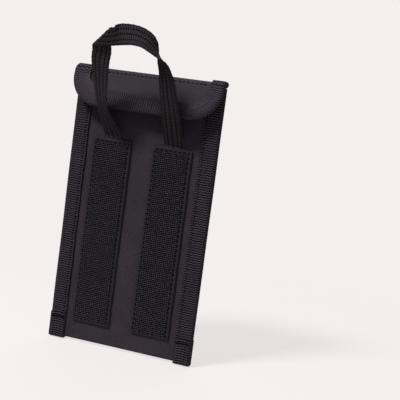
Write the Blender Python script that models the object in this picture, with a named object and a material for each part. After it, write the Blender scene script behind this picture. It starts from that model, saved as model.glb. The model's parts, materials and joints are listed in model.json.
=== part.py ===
"""Flat tourniquet pouch: bound fabric body, two hook strips, a fold-over flap and a webbing pull handle.

The origin is in the middle of the two hook strips, on the plane of their faces. +X is to the
wearer's right across the pouch, -Y is the side with the hook strips, +Z is up to the flap.
"""
import math

import bmesh
import bpy
from mathutils import Vector

MM = 0.001

# Overall sizes
POUCH_WIDTH = 95.0 * MM
POUCH_HEIGHT = 168.0 * MM
POCKET_ROOM = 4.6 * MM          # clear depth inside the pocket
GAP = 0.3 * MM                  # clearance between pieces that touch

# Cloth, foam and tape thicknesses
FABRIC = 0.8 * MM
LINING = 0.3 * MM
FOAM = 1.0 * MM
TAPE = 1.0 * MM

# Hook strips on the front
STRIP_WIDTH = 25.0 * MM
STRIP_THICK = 2.4 * MM          # over the hooks
STRIP_LIFT = 12.2 * MM          # from the bottom edge of the pouch
STRIP_TOP_DROP = 41.4 * MM      # from the top fold
STRIP_SPACING = 39.4 * MM       # between the strips' centre lines
STRIP_SEAM_INSET = 2.8 * MM
HOOK_RISE = 0.7 * MM            # hooks above the plain border that holds the seam
HOOK_SLOPE = 0.3 * MM           # width of the hook field's sloped side

# Edge binding
BIND_WIDTH = 10.5 * MM
BIND_SEAM_INSET = 1.6 * MM      # from the binding's inner edge
BIND_END_HEIGHT = 15.0 * MM     # tape folded under at the bottom
BIND_END_DROP = 1.0 * MM
END_FOLD = 0.8                  # extra tape thicknesses where the end is turned under
BARTACK_DROP = 3.0 * MM         # below the top of the folded end
BARTACK_HEIGHT = 3.0 * MM
BARTACK_STEP = 1.4 * MM
BARTACK_TURNS = 3

# Mouth, pocket and closure
MOUTH_DROP = 8.0 * MM           # from the top fold to the front panel's edge
LOOP_TAPE_HEIGHT = 8.5 * MM
LOOP_TAPE_WIDTH = 62.0 * MM
LOOP_TAPE_THICK = 1.1 * MM
FOAM_WIDTH = 52.0 * MM
FOAM_BOTTOM = 30.0 * MM         # from the bottom edge of the pouch
FOAM_TOP_DROP = 30.0 * MM       # from the top fold
BOW_CLEAR = 0.5 * MM            # the rear panel is bowed between the bindings, this far from them
BOW_FLAT = 36.0 * MM            # flat middle of the bow
BOW_RISE = 22.0 * MM            # height over which the bow fades at the bottom
TOP_BOW_LOSS = 1.7 * MM         # how much shallower the bow is at the top edge

# Flap
FLAP_DROP = 22.5 * MM           # from the top fold to the free edge
FLAP_LEAN = math.radians(14.0)
FLAP_BEND = 3.0 * MM            # radius of the fold's front edge
FLAP_CORNER = 18.0 * MM
FLAP_BIND_WIDTH = 9.0 * MM
FLAP_FOLD_BACK = 0.5 * MM       # where the fold's front edge starts bending, from the strips' plane
TOP_SEAM_DROP = 2.6 * MM
HINGE_BEHIND = 0.2 * MM         # hinge line, behind the rear panel
HINGE_ABOVE = 0.15 * MM         # hinge line, above the rear panel

# Pull handle
WEBBING_WIDTH = 12.0 * MM
WEBBING_THICK = 1.0 * MM
ANCHOR_LENGTH = 12.0 * MM       # sewn under the top of each hook strip
ANCHOR_STAND = 1.0 * MM         # how far the anchor shows above the strip
RECESS_SLOPE = 0.2 * MM         # sloped side of the hollow behind the strip
PIVOT_RISE = 2.5 * MM           # handle's bending line above the strips' top edge
HANDLE_STEPS = 3                # slices between two entries of the handle's path
FOLD_STEPS = 4                  # flat steps round the crease

# Thread
STITCH_PITCH = 3.2 * MM
STITCH_WIDTH = 0.5 * MM
STITCH_THICK = 0.4 * MM
STITCH_DIP = 0.15 * MM          # thickness left between two stitches
SEAM_END = 1.0 * MM             # a seam stops this far from the edge of its piece

# Derived places
HALF_WIDTH = POUCH_WIDTH / 2
STRIP_LENGTH = POUCH_HEIGHT - STRIP_LIFT - STRIP_TOP_DROP
BOTTOM_Z = -(STRIP_LIFT + STRIP_LENGTH / 2)
TOP_Z = BOTTOM_Z + POUCH_HEIGHT
STRIP_TOP_Z = STRIP_LENGTH / 2
STRIP_BORDER = STRIP_SEAM_INSET + STITCH_WIDTH / 2 + GAP
MOUTH_Z = TOP_Z - MOUTH_DROP
FRONT_Y = STRIP_THICK + GAP                              # front face of the front panel
FRONT_BACK_Y = FRONT_Y + FABRIC
LINING_Y = FRONT_BACK_Y + GAP
LINING_BACK_Y = LINING_Y + LINING
REAR_EDGE_Y = FRONT_BACK_Y + GAP                         # rear panel's inner face at the bindings
PANEL_HALF = HALF_WIDTH - TAPE - GAP
BIND_INNER_X = HALF_WIDTH - BIND_WIDTH
BOW_HALF = BIND_INNER_X - BOW_CLEAR
POCKET_BACK_Y = LINING_BACK_Y + POCKET_ROOM
BOW = POCKET_BACK_Y + LINING + GAP + FOAM + GAP - REAR_EDGE_Y
TOP_BOW = BOW - TOP_BOW_LOSS
FLAP_STACK = FABRIC + GAP + LINING
FLAP_MID_Z = TOP_Z - FLAP_STACK / 2
REAR_TOP_Z = TOP_Z - FLAP_STACK - TAPE - 2 * GAP       # clear of the flap and its binding
HINGE_Y = REAR_EDGE_Y + TOP_BOW + FABRIC + HINGE_BEHIND
HINGE_Z = REAR_TOP_Z + HINGE_ABOVE
FLAP_ARC = FLAP_BEND * (math.pi / 2 - FLAP_LEAN)
FLAP_STRAIGHT = ((FLAP_DROP - FLAP_STACK / 2 - FLAP_BEND * (1 - math.sin(FLAP_LEAN)))
                 / math.cos(FLAP_LEAN))
FLAP_LENGTH = FLAP_ARC + FLAP_STRAIGHT                   # from the fold's front edge to the free edge
PIVOT_Z = STRIP_TOP_Z + PIVOT_RISE
WEBBING_Y = FRONT_Y - GAP - WEBBING_THICK / 2            # middle of the sewn webbing
STRIP_CENTRES = {"left": -STRIP_SPACING / 2, "right": STRIP_SPACING / 2}

# The handle's middle line and the direction across the webbing, from its outer to its inner edge.
# Each entry is x, forward, up from the handle's bending line, then the direction's x, forward, up.
HANDLE_PATH = (
    (-19.7, 0.6, 0.4, 1.00, 0.00, 0.00),
    (-20.6, 7.6, 7.6, 0.92, 0.30, 0.00),
    (-21.4, 16.4, 15.8, 0.80, 0.58, 0.00),
    (-21.2, 20.9, 22.2, 0.83, 0.54, 0.00),
    (-20.9, 24.0, 29.0, 0.90, 0.42, 0.00),
    (-20.2, 27.8, 36.0, 0.97, 0.26, 0.00),
    (-19.2, 31.4, 43.0, 1.00, 0.10, 0.02),
    (-4.2, 40.4, 58.0, 0.00, 0.14, 0.99),
    (-0.2, 40.6, 58.4, 0.00, -0.06, 1.00),
    (4.2, 40.4, 58.4, 0.00, -0.30, 0.95),
    (8.0, 39.7, 57.7, 0.05, -0.45, 0.88),
    (11.6, 38.8, 56.2, 0.08, -0.62, 0.76),
    (14.6, 37.6, 53.5, 0.05, -0.80, 0.55),
    (17.0, 35.8, 50.3, -0.20, -0.92, 0.25),
    (19.4, 32.4, 45.4, -0.70, -0.70, 0.00),
    (20.7, 29.4, 40.4, -0.84, -0.52, 0.00),
    (21.3, 26.7, 35.6, -0.92, -0.36, 0.00),
    (21.4, 22.6, 28.0, -0.97, -0.22, 0.00),
    (21.5, 18.3, 21.0, -1.00, -0.10, 0.00),
    (21.3, 13.2, 14.0, -1.00, -0.02, 0.00),
    (19.7, 0.6, 0.4, -1.00, 0.00, 0.00),
)
FOLD_AFTER = 7                  # entries of the path before the webbing folds over to cross the top
FOLD_PLACE = (-16.6, 38.6, 55.9)        # middle of the crease: x, forward, up from the bending line
FOLD_LEAN = 26.7                # degrees that the folded part leans forward
FOLD_TURN = 42.7                # degrees of the crease above the horizontal
FOLD_ANGLE = 41.3               # degrees between the crease and the webbing
FOLD_ROOM = 0.4                 # inside radius of the fold
FOLD_FLAT = 1.2                 # flat webbing past the corners of the fold
FOLD_RISE = 1.3                 # the crossing part bends up by this after the crease


# Materials and objects ----------------------------------------------------------------------------

def clear_scene():
    for item in list(bpy.data.objects):
        bpy.data.objects.remove(item, do_unlink=True)


def cloth_material(name, colour, roughness):
    material = bpy.data.materials.new(name)
    material.use_nodes = True
    shader = material.node_tree.nodes["Principled BSDF"]
    shader.inputs["Base Color"].default_value = (*colour, 1.0)
    shader.inputs["Roughness"].default_value = roughness
    shader.inputs["Metallic"].default_value = 0.0
    material.diffuse_color = (*colour, 1.0)
    return material


def object_from(name, mesh_data, material, pivot=Vector((0.0, 0.0, 0.0)), smooth=False):
    """Turn a closed bmesh into a named object whose origin is at the pivot."""
    bmesh.ops.recalc_face_normals(mesh_data, faces=mesh_data.faces)
    bmesh.ops.translate(mesh_data, verts=mesh_data.verts, vec=-pivot)
    mesh = bpy.data.meshes.new(name)
    mesh_data.to_mesh(mesh)
    mesh_data.free()
    if smooth:
        mesh.shade_smooth()
        mesh.set_sharp_from_angle(angle=math.radians(40))
    mesh.materials.append(material)
    item = bpy.data.objects.new(name, mesh)
    item.location = pivot
    bpy.context.collection.objects.link(item)
    return item


# Solids -------------------------------------------------------------------------------------------

def add_loft(mesh_data, rings):
    """Skin a row of equal rings of points and cap both ends."""
    rows = [[mesh_data.verts.new(point) for point in ring] for ring in rings]
    count = len(rows[0])
    for lower, upper in zip(rows, rows[1:]):
        for k in range(count):
            after = (k + 1) % count
            mesh_data.faces.new((lower[k], lower[after], upper[after], upper[k]))
    mesh_data.faces.new(list(reversed(rows[0])))
    mesh_data.faces.new(rows[-1])


def add_box(mesh_data, low, high):
    corners = [(x, y) for x, y in ((low[0], low[1]), (high[0], low[1]), (high[0], high[1]), (low[0], high[1]))]
    add_loft(mesh_data, [[Vector((x, y, z)) for x, y in corners] for z in (low[2], high[2])])


def add_sheet(mesh_data, columns, rows, front, back):
    """A closed sheet between two surfaces, each a function of column and row values."""
    faces = []
    for surface in (front, back):
        faces.append([[mesh_data.verts.new(surface(u, v)) for u in columns] for v in rows])
    near, far = faces
    last_row, last_column = len(rows) - 1, len(columns) - 1
    for j in range(last_row):
        for i in range(last_column):
            mesh_data.faces.new((near[j][i], near[j][i + 1], near[j + 1][i + 1], near[j + 1][i]))
            mesh_data.faces.new((far[j][i], far[j + 1][i], far[j + 1][i + 1], far[j][i + 1]))
    rim = [(j, 0) for j in range(last_row, 0, -1)] + [(0, i) for i in range(last_column)]
    rim += [(j, last_column) for j in range(last_row)] + [(last_row, i) for i in range(last_column, 0, -1)]
    for (j, i), (j2, i2) in zip(rim, rim[1:] + rim[:1]):
        mesh_data.faces.new((near[j][i], far[j][i], far[j2][i2], near[j2][i2]))


def add_thread(mesh_data, path, closed=False):
    """A seam's thread: thick where a stitch lies on the cloth, thin where it dips to the next."""
    rings = []
    count = len(path)
    for k, (centre, outward) in enumerate(path):
        before = path[k - 1][0] if closed or k else centre
        after = path[(k + 1) % count][0] if closed or k + 1 < count else centre
        outward = outward.normalized()
        side = (after - before).cross(outward).normalized() * (STITCH_WIDTH / 2)
        rise = outward * (STITCH_THICK if k % 2 else STITCH_DIP)
        rings.append([centre - side, centre + side, centre + side * 0.7 + rise, centre - side * 0.7 + rise])
    if not closed:
        add_loft(mesh_data, rings)
        return
    rows = [[mesh_data.verts.new(point) for point in ring] for ring in rings]
    for lower, upper in zip(rows, rows[1:] + rows[:1]):
        for k in range(4):
            after = (k + 1) % 4
            mesh_data.faces.new((lower[k], lower[after], upper[after], upper[k]))


def seam_places(start, end, closed_end=True):
    """Half-stitch steps from start to end, an even number of them."""
    steps = 2 * max(1, round(abs(end - start) / STITCH_PITCH))
    values = spread(start, end, steps)
    return values if closed_end else values[:-1]


def frame_seam(low_x, high_x, low_z, high_z, y):
    """A rectangle of thread on a face that looks to -Y."""
    outward = Vector((0, -1, 0))
    path = [(x, low_z) for x in seam_places(low_x, high_x, False)]
    path += [(high_x, z) for z in seam_places(low_z, high_z, False)]
    path += [(x, high_z) for x in seam_places(high_x, low_x, False)]
    path += [(low_x, z) for z in seam_places(high_z, low_z, False)]
    return [(Vector((x, y, z)), outward) for x, z in path]


def spread(low, high, steps):
    return [low + (high - low) * k / steps for k in range(steps + 1)]


def smooth_step(value):
    value = min(1.0, max(0.0, value))
    return value * value * (3 - 2 * value)


# The body's panels --------------------------------------------------------------------------------

def rear_inner_y(x, z):
    """Inner face of the rear panel: flat under the bindings and bowed back between them."""
    across = smooth_step((BOW_HALF - abs(x)) / (BOW_HALF - BOW_FLAT / 2))
    up = smooth_step((z - BOTTOM_Z - BIND_END_HEIGHT / 3) / BOW_RISE)
    near_top = smooth_step((z - MOUTH_Z) / (TOP_Z - MOUTH_Z))
    return REAR_EDGE_Y + across * up * (BOW - TOP_BOW_LOSS * near_top)


def build_front_panel(material):
    """Flat front, with the cloth turned under the bottom edge."""
    mesh_data = bmesh.new()
    rear_outer = REAR_EDGE_Y + FABRIC
    outline = ((FRONT_Y, BOTTOM_Z), (rear_outer, BOTTOM_Z), (rear_outer, BOTTOM_Z + FABRIC),
               (FRONT_BACK_Y, BOTTOM_Z + FABRIC), (FRONT_BACK_Y, MOUTH_Z), (FRONT_Y, MOUTH_Z))
    add_loft(mesh_data, [[Vector((x, y, z)) for y, z in outline] for x in (-PANEL_HALF, PANEL_HALF)])
    return object_from("front_panel", mesh_data, material)


def build_rear_panel(material):
    mesh_data = bmesh.new()
    columns = [-PANEL_HALF] + spread(-BOW_HALF, BOW_HALF, 18) + [PANEL_HALF]
    bow_start = BOTTOM_Z + BIND_END_HEIGHT / 3
    rows = [BOTTOM_Z + FABRIC + GAP] + spread(bow_start, bow_start + BOW_RISE, 6)
    rows += spread(0.0, MOUTH_Z, 3) + spread((MOUTH_Z + REAR_TOP_Z) / 2, REAR_TOP_Z, 2)
    add_sheet(mesh_data, columns, rows,
              lambda x, z: Vector((x, rear_inner_y(x, z), z)),
              lambda x, z: Vector((x, rear_inner_y(x, z) + FABRIC, z)))
    return object_from("rear_panel", mesh_data, material, smooth=True)


def build_inner_layers(foam_material, lining_material):
    """Foam and lining behind the pocket, and the lining of the front."""
    columns = spread(-FOAM_WIDTH / 2, FOAM_WIDTH / 2, 12)
    rows = spread(BOTTOM_Z + FOAM_BOTTOM, TOP_Z - FOAM_TOP_DROP, 6)
    layers = (("rear_foam", FOAM, GAP, foam_material),
              ("rear_lining", LINING, GAP + FOAM + GAP, lining_material))
    for name, thick, inset, material in layers:
        mesh_data = bmesh.new()
        add_sheet(mesh_data, columns, rows,
                  lambda x, z, d=inset + thick: Vector((x, rear_inner_y(x, z) - d, z)),
                  lambda x, z, d=inset: Vector((x, rear_inner_y(x, z) - d, z)))
        object_from(name, mesh_data, material, smooth=True)
    mesh_data = bmesh.new()
    add_box(mesh_data, (-FOAM_WIDTH / 2, LINING_Y, BOTTOM_Z + FOAM_BOTTOM),
            (FOAM_WIDTH / 2, LINING_BACK_Y, MOUTH_Z - GAP))
    object_from("front_lining", mesh_data, lining_material)


def build_side_binding(side, sign, material):
    """Tape folded over the edge, doubled where its end is turned under at the bottom."""
    mesh_data = bmesh.new()
    front_face = FRONT_Y - GAP - TAPE
    rear_face = REAR_EDGE_Y + FABRIC + GAP + TAPE
    bottom = BOTTOM_Z - BIND_END_DROP
    fold_top = BOTTOM_Z + BIND_END_HEIGHT
    fold = TAPE * END_FOLD
    stations = ((bottom, fold), (fold_top - fold, fold), (fold_top, 0.0), (REAR_TOP_Z, 0.0))
    rings = []
    for z, extra in stations:
        outline = ((HALF_WIDTH, front_face - extra), (HALF_WIDTH, rear_face),
                   (BIND_INNER_X, rear_face), (BIND_INNER_X, rear_face - TAPE),
                   (HALF_WIDTH - TAPE, rear_face - TAPE), (HALF_WIDTH - TAPE, front_face + TAPE),
                   (BIND_INNER_X, front_face + TAPE), (BIND_INNER_X, front_face - extra))
        rings.append([Vector((sign * x, y, z)) for x, y in outline])
    add_loft(mesh_data, rings)
    object_from(f"side_binding_{side}", mesh_data, material)


def build_binding_stitching(side, sign, material):
    mesh_data = bmesh.new()
    x = sign * (BIND_INNER_X + BIND_SEAM_INSET)
    y = FRONT_Y - GAP - TAPE - GAP
    places = seam_places(BOTTOM_Z + BIND_END_HEIGHT + GAP, REAR_TOP_Z - SEAM_END)
    add_thread(mesh_data, [(Vector((x, y, z)), Vector((0, -1, 0))) for z in places])
    object_from(f"binding_stitching_{side}", mesh_data, material)


def build_binding_bartack(side, sign, material):
    """Close zigzag that locks the folded end of the binding."""
    mesh_data = bmesh.new()
    y = FRONT_Y - GAP - TAPE * (1 + END_FOLD) - GAP
    middle = BOTTOM_Z + BIND_END_HEIGHT - BARTACK_DROP
    path = []
    for k in range(2 * BARTACK_TURNS + 1):
        x = sign * (BIND_INNER_X + SEAM_END + k * BARTACK_STEP / 2)
        z = middle + BARTACK_HEIGHT / 2 * (-1) ** k
        path.append((Vector((x, y, z)), Vector((0, -1, 0))))
    add_thread(mesh_data, path)
    object_from(f"binding_bartack_{side}", mesh_data, material)


# Hook strips and handle anchors -------------------------------------------------------------------

def build_hook_strip(side, centre, material):
    """Hook tape: a raised field of hooks inside a plain border, hollowed behind its top end for the webbing."""
    mesh_data = bmesh.new()
    half = STRIP_WIDTH / 2
    field = half - STRIP_BORDER - HOOK_SLOPE
    field_z = STRIP_TOP_Z - STRIP_BORDER - HOOK_SLOPE
    room = WEBBING_WIDTH / 2 + GAP
    recess_y = WEBBING_Y - WEBBING_THICK / 2 - GAP
    recess_z = STRIP_TOP_Z - ANCHOR_LENGTH - GAP
    right = [room, room + RECESS_SLOPE, field, field + HOOK_SLOPE, half]
    columns = [-x for x in reversed(right)] + right
    rows = [-STRIP_TOP_Z, -field_z - HOOK_SLOPE, -field_z, recess_z - RECESS_SLOPE, recess_z,
            field_z, field_z + HOOK_SLOPE, STRIP_TOP_Z]

    def front(x, z):
        return Vector((centre + x, 0.0 if abs(x) <= field and abs(z) <= field_z else HOOK_RISE, z))

    def back(x, z):
        return Vector((centre + x, recess_y if abs(x) <= room and z >= recess_z else STRIP_THICK, z))

    add_sheet(mesh_data, columns, rows, front, back)
    object_from(f"hook_strip_{side}", mesh_data, material)


def build_strip_stitching(side, centre, material):
    """One row of thread all round the strip, a little in from its edge."""
    mesh_data = bmesh.new()
    half = STRIP_WIDTH / 2 - STRIP_SEAM_INSET
    top = STRIP_TOP_Z - STRIP_SEAM_INSET
    add_thread(mesh_data, frame_seam(centre - half, centre + half, -top, top, HOOK_RISE - GAP), closed=True)
    object_from(f"strip_stitching_{side}", mesh_data, material)


def build_handle_anchor(side, centre, material):
    """The end of the webbing, sewn down under the strip and showing just above it."""
    mesh_data = bmesh.new()
    half = WEBBING_WIDTH / 2
    add_box(mesh_data,
            (centre - half, WEBBING_Y - WEBBING_THICK / 2, STRIP_TOP_Z - ANCHOR_LENGTH),
            (centre + half, WEBBING_Y + WEBBING_THICK / 2, STRIP_TOP_Z + ANCHOR_STAND))
    object_from(f"handle_anchor_{side}", mesh_data, material)


def curve_through(values, steps):
    """Smooth curve through a list of vectors, with the given steps between neighbours."""
    padded = [values[0] * 2 - values[1]] + list(values) + [values[-1] * 2 - values[-2]]
    points = []
    for a, b, c, d in zip(padded, padded[1:], padded[2:], padded[3:]):
        for k in range(steps):
            t = k / steps
            points.append((b * 2 + (c - a) * t + (a * 2 - b * 5 + c * 4 - d) * t ** 2
                           + (b * 3 - a - c * 3 + d) * t ** 3) / 2)
    points.append(values[-1])
    return points


def handle_fold(pivot, stretch):
    """Places and cross directions where the webbing folds over its slanted crease."""
    lean, turn, angle = (math.radians(value) for value in (FOLD_LEAN, FOLD_TURN, FOLD_ANGLE))
    up = Vector((0.0, -math.sin(lean), math.cos(lean)))
    toward = Vector((0.0, -math.cos(lean), -math.sin(lean)))
    crease = Vector((math.cos(turn), 0.0, 0.0)) + up * math.sin(turn)
    out = Vector((-math.sin(turn), 0.0, 0.0)) + up * math.cos(turn)
    slant = 1 / math.tan(angle)
    radius = FOLD_ROOM * MM + WEBBING_THICK / 2
    reach = WEBBING_WIDTH / 2 * slant + FOLD_FLAT * MM
    x, forward, height = FOLD_PLACE
    middle = pivot + Vector((x * stretch, -forward * MM, height * MM))
    start = middle - out * radius - crease * (radius * slant * math.pi / 2)
    wrap = []
    for k in range(FOLD_STEPS + 1):
        turned = math.pi * k / FOLD_STEPS
        wrap.append((start + (out * math.sin(turned) - toward * math.cos(turned)) * radius
                     + crease * (radius * slant * turned), crease / math.sin(angle)))
    before, after = [], []
    for share in (1.0, 2 / 3, 1 / 3):
        along = crease * math.cos(angle) + out * math.sin(angle)
        side = crease * math.sin(angle) - out * math.cos(angle) + along * (slant * (1 - share))
        before.append((wrap[0][0] - along * (reach * share), side))
        along = crease * math.cos(angle) - out * math.sin(angle)
        rise = crease * math.sin(angle) + out * math.cos(angle)
        after.append((wrap[-1][0] + along * (reach * share) + rise * (FOLD_RISE * MM * share ** 2),
                      rise + along * (slant * (1 - share))))
    return before + wrap + after[::-1]


def build_pull_handle(material):
    """Flat webbing swept from one anchor over to the other, turning as it goes."""
    mesh_data = bmesh.new()
    pivot = Vector((0.0, WEBBING_Y, PIVOT_Z))
    stretch = STRIP_SPACING / 2 / abs(HANDLE_PATH[0][0])          # legs stay over the strips
    path = [pivot + Vector((x * stretch, -forward * MM, up * MM)) for x, forward, up, *_ in HANDLE_PATH]
    turns = [Vector((x, -forward, up)) for *_, x, forward, up in HANDLE_PATH]
    fold = handle_fold(pivot, stretch)
    path[FOLD_AFTER:FOLD_AFTER] = [place for place, _ in fold]
    turns[FOLD_AFTER:FOLD_AFTER] = [side for _, side in fold]
    for k, side in enumerate(turns):
        if not FOLD_AFTER <= k < FOLD_AFTER + len(fold):          # square to the webbing, but for the fold
            tangent = (path[min(k + 1, len(path) - 1)] - path[max(k - 1, 0)]).normalized()
            turns[k] = (side - tangent * side.dot(tangent)).normalized()
    centres = curve_through(path, HANDLE_STEPS)
    across = curve_through(turns, HANDLE_STEPS)
    rings = []
    for k, (centre, side) in enumerate(zip(centres, across)):
        tangent = (centres[min(k + 1, len(centres) - 1)] - centres[max(k - 1, 0)]).normalized()
        face = side.cross(tangent).normalized() * (WEBBING_THICK / 2)
        side = side * (WEBBING_WIDTH / 2)
        rings.append([centre - side - face, centre + side - face, centre + side + face, centre - side + face])
    add_loft(mesh_data, rings)
    object_from("pull_handle", mesh_data, material, pivot, smooth=True)


# Flap ---------------------------------------------------------------------------------------------

def flap_point(x, s, n):
    """A place on the flap: s runs from the fold's front edge to the free edge, n is outward."""
    if s <= 0.0:
        return Vector((x, FLAP_FOLD_BACK - s, FLAP_MID_Z + n))
    turned = min(s, FLAP_ARC) / FLAP_BEND
    reach = FLAP_BEND + n
    y = FLAP_FOLD_BACK - reach * math.sin(turned)
    z = FLAP_MID_Z - FLAP_BEND + reach * math.cos(turned)
    rest = max(0.0, s - FLAP_ARC)
    return Vector((x, y - rest * math.sin(FLAP_LEAN), z - rest * math.cos(FLAP_LEAN)))


def flap_edge(inset):
    """Flat outline of the flap from its left side round the free edge to its right side."""
    half = HALF_WIDTH - inset
    radius = FLAP_CORNER - inset
    turn = FLAP_LENGTH - FLAP_CORNER
    right = [(half, s) for s in (-top_edge_back(HALF_WIDTH), 0.0, FLAP_ARC / 2, FLAP_ARC)]
    for k in range(9):
        angle = math.pi / 2 * k / 8
        right.append((half - radius + radius * math.cos(angle), turn + radius * math.sin(angle)))
    return [(-x, s) for x, s in right] + list(reversed(right))


def flap_half_width(s, inset):
    """Half of the flap's width at a distance from the fold's front edge."""
    radius = FLAP_CORNER - inset
    along = max(0.0, s - (FLAP_LENGTH - FLAP_CORNER))
    return HALF_WIDTH - inset - radius + math.sqrt(max(0.0, radius ** 2 - along ** 2))


def top_edge_back(x):
    """How far behind the fold's front edge the rear panel's top edge lies."""
    return rear_inner_y(x, TOP_Z) + FABRIC - FLAP_FOLD_BACK


def flap_row_s(row, x):
    """Rows below zero are shares of the way back to the rear panel's top edge."""
    return row * top_edge_back(x) if row < 0.0 else row


def flap_sheet(name, low_n, high_n, material, hinge):
    """One layer of the flap, inside the fold of its binding."""
    mesh_data = bmesh.new()
    inset = TAPE + GAP
    corner_start = FLAP_LENGTH - FLAP_CORNER
    corner = [corner_start + (FLAP_CORNER - inset) * math.sin(math.pi / 2 * k / 6) for k in range(7)]
    rows = [-1.0, -0.5, 0.0, FLAP_ARC / 3, FLAP_ARC * 2 / 3, FLAP_ARC] + corner

    def surface(n):
        def place(u, row):
            x = u * flap_half_width(max(row, 0.0), inset)
            return flap_point(x, flap_row_s(row, x), n)
        return place

    add_sheet(mesh_data, spread(-1.0, 1.0, 20), rows, surface(low_n), surface(high_n))
    object_from(name, mesh_data, material, hinge, smooth=True)


def build_flap(materials):
    hinge = Vector((0.0, HINGE_Y, HINGE_Z))
    half_stack = FLAP_STACK / 2
    flap_sheet("flap_shell", half_stack - FABRIC, half_stack, materials["fabric"], hinge)
    flap_sheet("flap_lining", -half_stack, -half_stack + LINING, materials["lining"], hinge)

    mesh_data = bmesh.new()
    face = half_stack + GAP
    section = ((0.0, face + TAPE), (FLAP_BIND_WIDTH, face + TAPE), (FLAP_BIND_WIDTH, face), (TAPE, face),
               (TAPE, -face), (FLAP_BIND_WIDTH, -face), (FLAP_BIND_WIDTH, -face - TAPE), (0.0, -face - TAPE))
    edges = [flap_edge(inset) for inset, _ in section]
    rings = []
    for k in range(len(edges[0])):
        rings.append([flap_point(*edge[k], n) for edge, (_, n) in zip(edges, section)])
    add_loft(mesh_data, rings)
    object_from("flap_binding", mesh_data, materials["binding"], hinge)

    mesh_data = bmesh.new()
    middle = (FLAP_ARC + FLAP_LENGTH - FLAP_BIND_WIDTH) / 2
    under = -half_stack - GAP
    corners = [(-1, -1), (1, -1), (1, 1), (-1, 1)]
    rings = []
    for n in (under - LOOP_TAPE_THICK, under):
        rings.append([flap_point(u * LOOP_TAPE_WIDTH / 2, middle + v * LOOP_TAPE_HEIGHT / 2, n)
                      for u, v in corners])
    add_loft(mesh_data, rings)
    object_from("closure_hook_tape", mesh_data, materials["hook"], hinge)

    build_flap_stitching(materials["thread"], hinge)
    build_top_stitching(materials["thread"], hinge)


def build_flap_stitching(material, hinge):
    """Thread along the inner edge of the flap's binding, round both corners."""
    mesh_data = bmesh.new()
    inset = FLAP_BIND_WIDTH - BIND_SEAM_INSET
    half = HALF_WIDTH - inset
    radius = FLAP_CORNER - inset
    turn = FLAP_LENGTH - FLAP_CORNER
    corner_steps = 2 * max(2, round(radius * math.pi / 2 / STITCH_PITCH))
    right = [(half, s) for s in seam_places(FLAP_ARC + SEAM_END, turn, False)]
    for k in range(corner_steps):
        angle = math.pi / 2 * k / corner_steps
        right.append((half - radius + radius * math.cos(angle), turn + radius * math.sin(angle)))
    free_edge = [(x, FLAP_LENGTH - inset) for x in seam_places(half - radius, radius - half, False)]
    left = [(-x, s) for x, s in reversed(right)]
    left.insert(0, (radius - half, FLAP_LENGTH - inset))
    lift = FLAP_STACK / 2 + GAP + TAPE + GAP
    path = [(flap_point(x, s, lift), flap_point(x, s, MM) - flap_point(x, s, 0))
            for x, s in right + free_edge + left]
    add_thread(mesh_data, path)
    object_from("flap_stitching", mesh_data, material, hinge)


def build_top_stitching(material, hinge):
    """Thread along the fold, just below its front edge."""
    mesh_data = bmesh.new()
    s = FLAP_ARC + TOP_SEAM_DROP - FLAP_BEND / 2
    reach = HALF_WIDTH - FLAP_BIND_WIDTH - SEAM_END
    outward = flap_point(0, s, MM) - flap_point(0, s, 0)
    add_thread(mesh_data, [(flap_point(x, s, FLAP_STACK / 2 + GAP), outward)
                           for x in seam_places(-reach, reach)])
    object_from("top_stitching", mesh_data, material, hinge)


def build_loop_tape(material, thread):
    """Loop side of the closure, sewn along the mouth of the front panel."""
    mesh_data = bmesh.new()
    face = FRONT_Y - GAP - LOOP_TAPE_THICK
    top = MOUTH_Z - GAP
    low = top - LOOP_TAPE_HEIGHT
    add_box(mesh_data, (-LOOP_TAPE_WIDTH / 2, face, low), (LOOP_TAPE_WIDTH / 2, face + LOOP_TAPE_THICK, top))
    object_from("closure_loop_tape", mesh_data, material)
    mesh_data = bmesh.new()
    reach = LOOP_TAPE_WIDTH / 2 - SEAM_END
    add_thread(mesh_data, frame_seam(-reach, reach, low + SEAM_END, top - SEAM_END, face - GAP), closed=True)
    object_from("closure_stitching", mesh_data, thread)


def main():
    clear_scene()
    materials = {
        "fabric": cloth_material("pouch_cloth", (0.022, 0.019, 0.023), 0.85),
        "lining": cloth_material("lining_cloth", (0.030, 0.028, 0.032), 0.75),
        "foam": cloth_material("foam", (0.060, 0.060, 0.062), 0.95),
        "binding": cloth_material("binding_tape", (0.020, 0.018, 0.020), 0.7),
        "hook": cloth_material("hook_tape", (0.012, 0.012, 0.016), 0.6),
        "loop": cloth_material("loop_tape", (0.014, 0.013, 0.016), 0.95),
        "webbing": cloth_material("webbing", (0.018, 0.016, 0.017), 0.65),
        "thread": cloth_material("thread", (0.012, 0.011, 0.013), 0.5),
    }
    build_front_panel(materials["fabric"])
    build_rear_panel(materials["fabric"])
    build_inner_layers(materials["foam"], materials["lining"])
    build_loop_tape(materials["loop"], materials["thread"])
    for side, sign in (("left", -1), ("right", 1)):
        build_side_binding(side, sign, materials["binding"])
        build_binding_stitching(side, sign, materials["thread"])
        build_binding_bartack(side, sign, materials["thread"])
        build_hook_strip(side, STRIP_CENTRES[side], materials["hook"])
        build_strip_stitching(side, STRIP_CENTRES[side], materials["thread"])
        build_handle_anchor(side, STRIP_CENTRES[side], materials["webbing"])
    build_pull_handle(materials["webbing"])
    build_flap(materials)


main()
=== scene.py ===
import json
import math
import bpy
import numpy as np
from mathutils import Matrix, Vector

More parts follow.
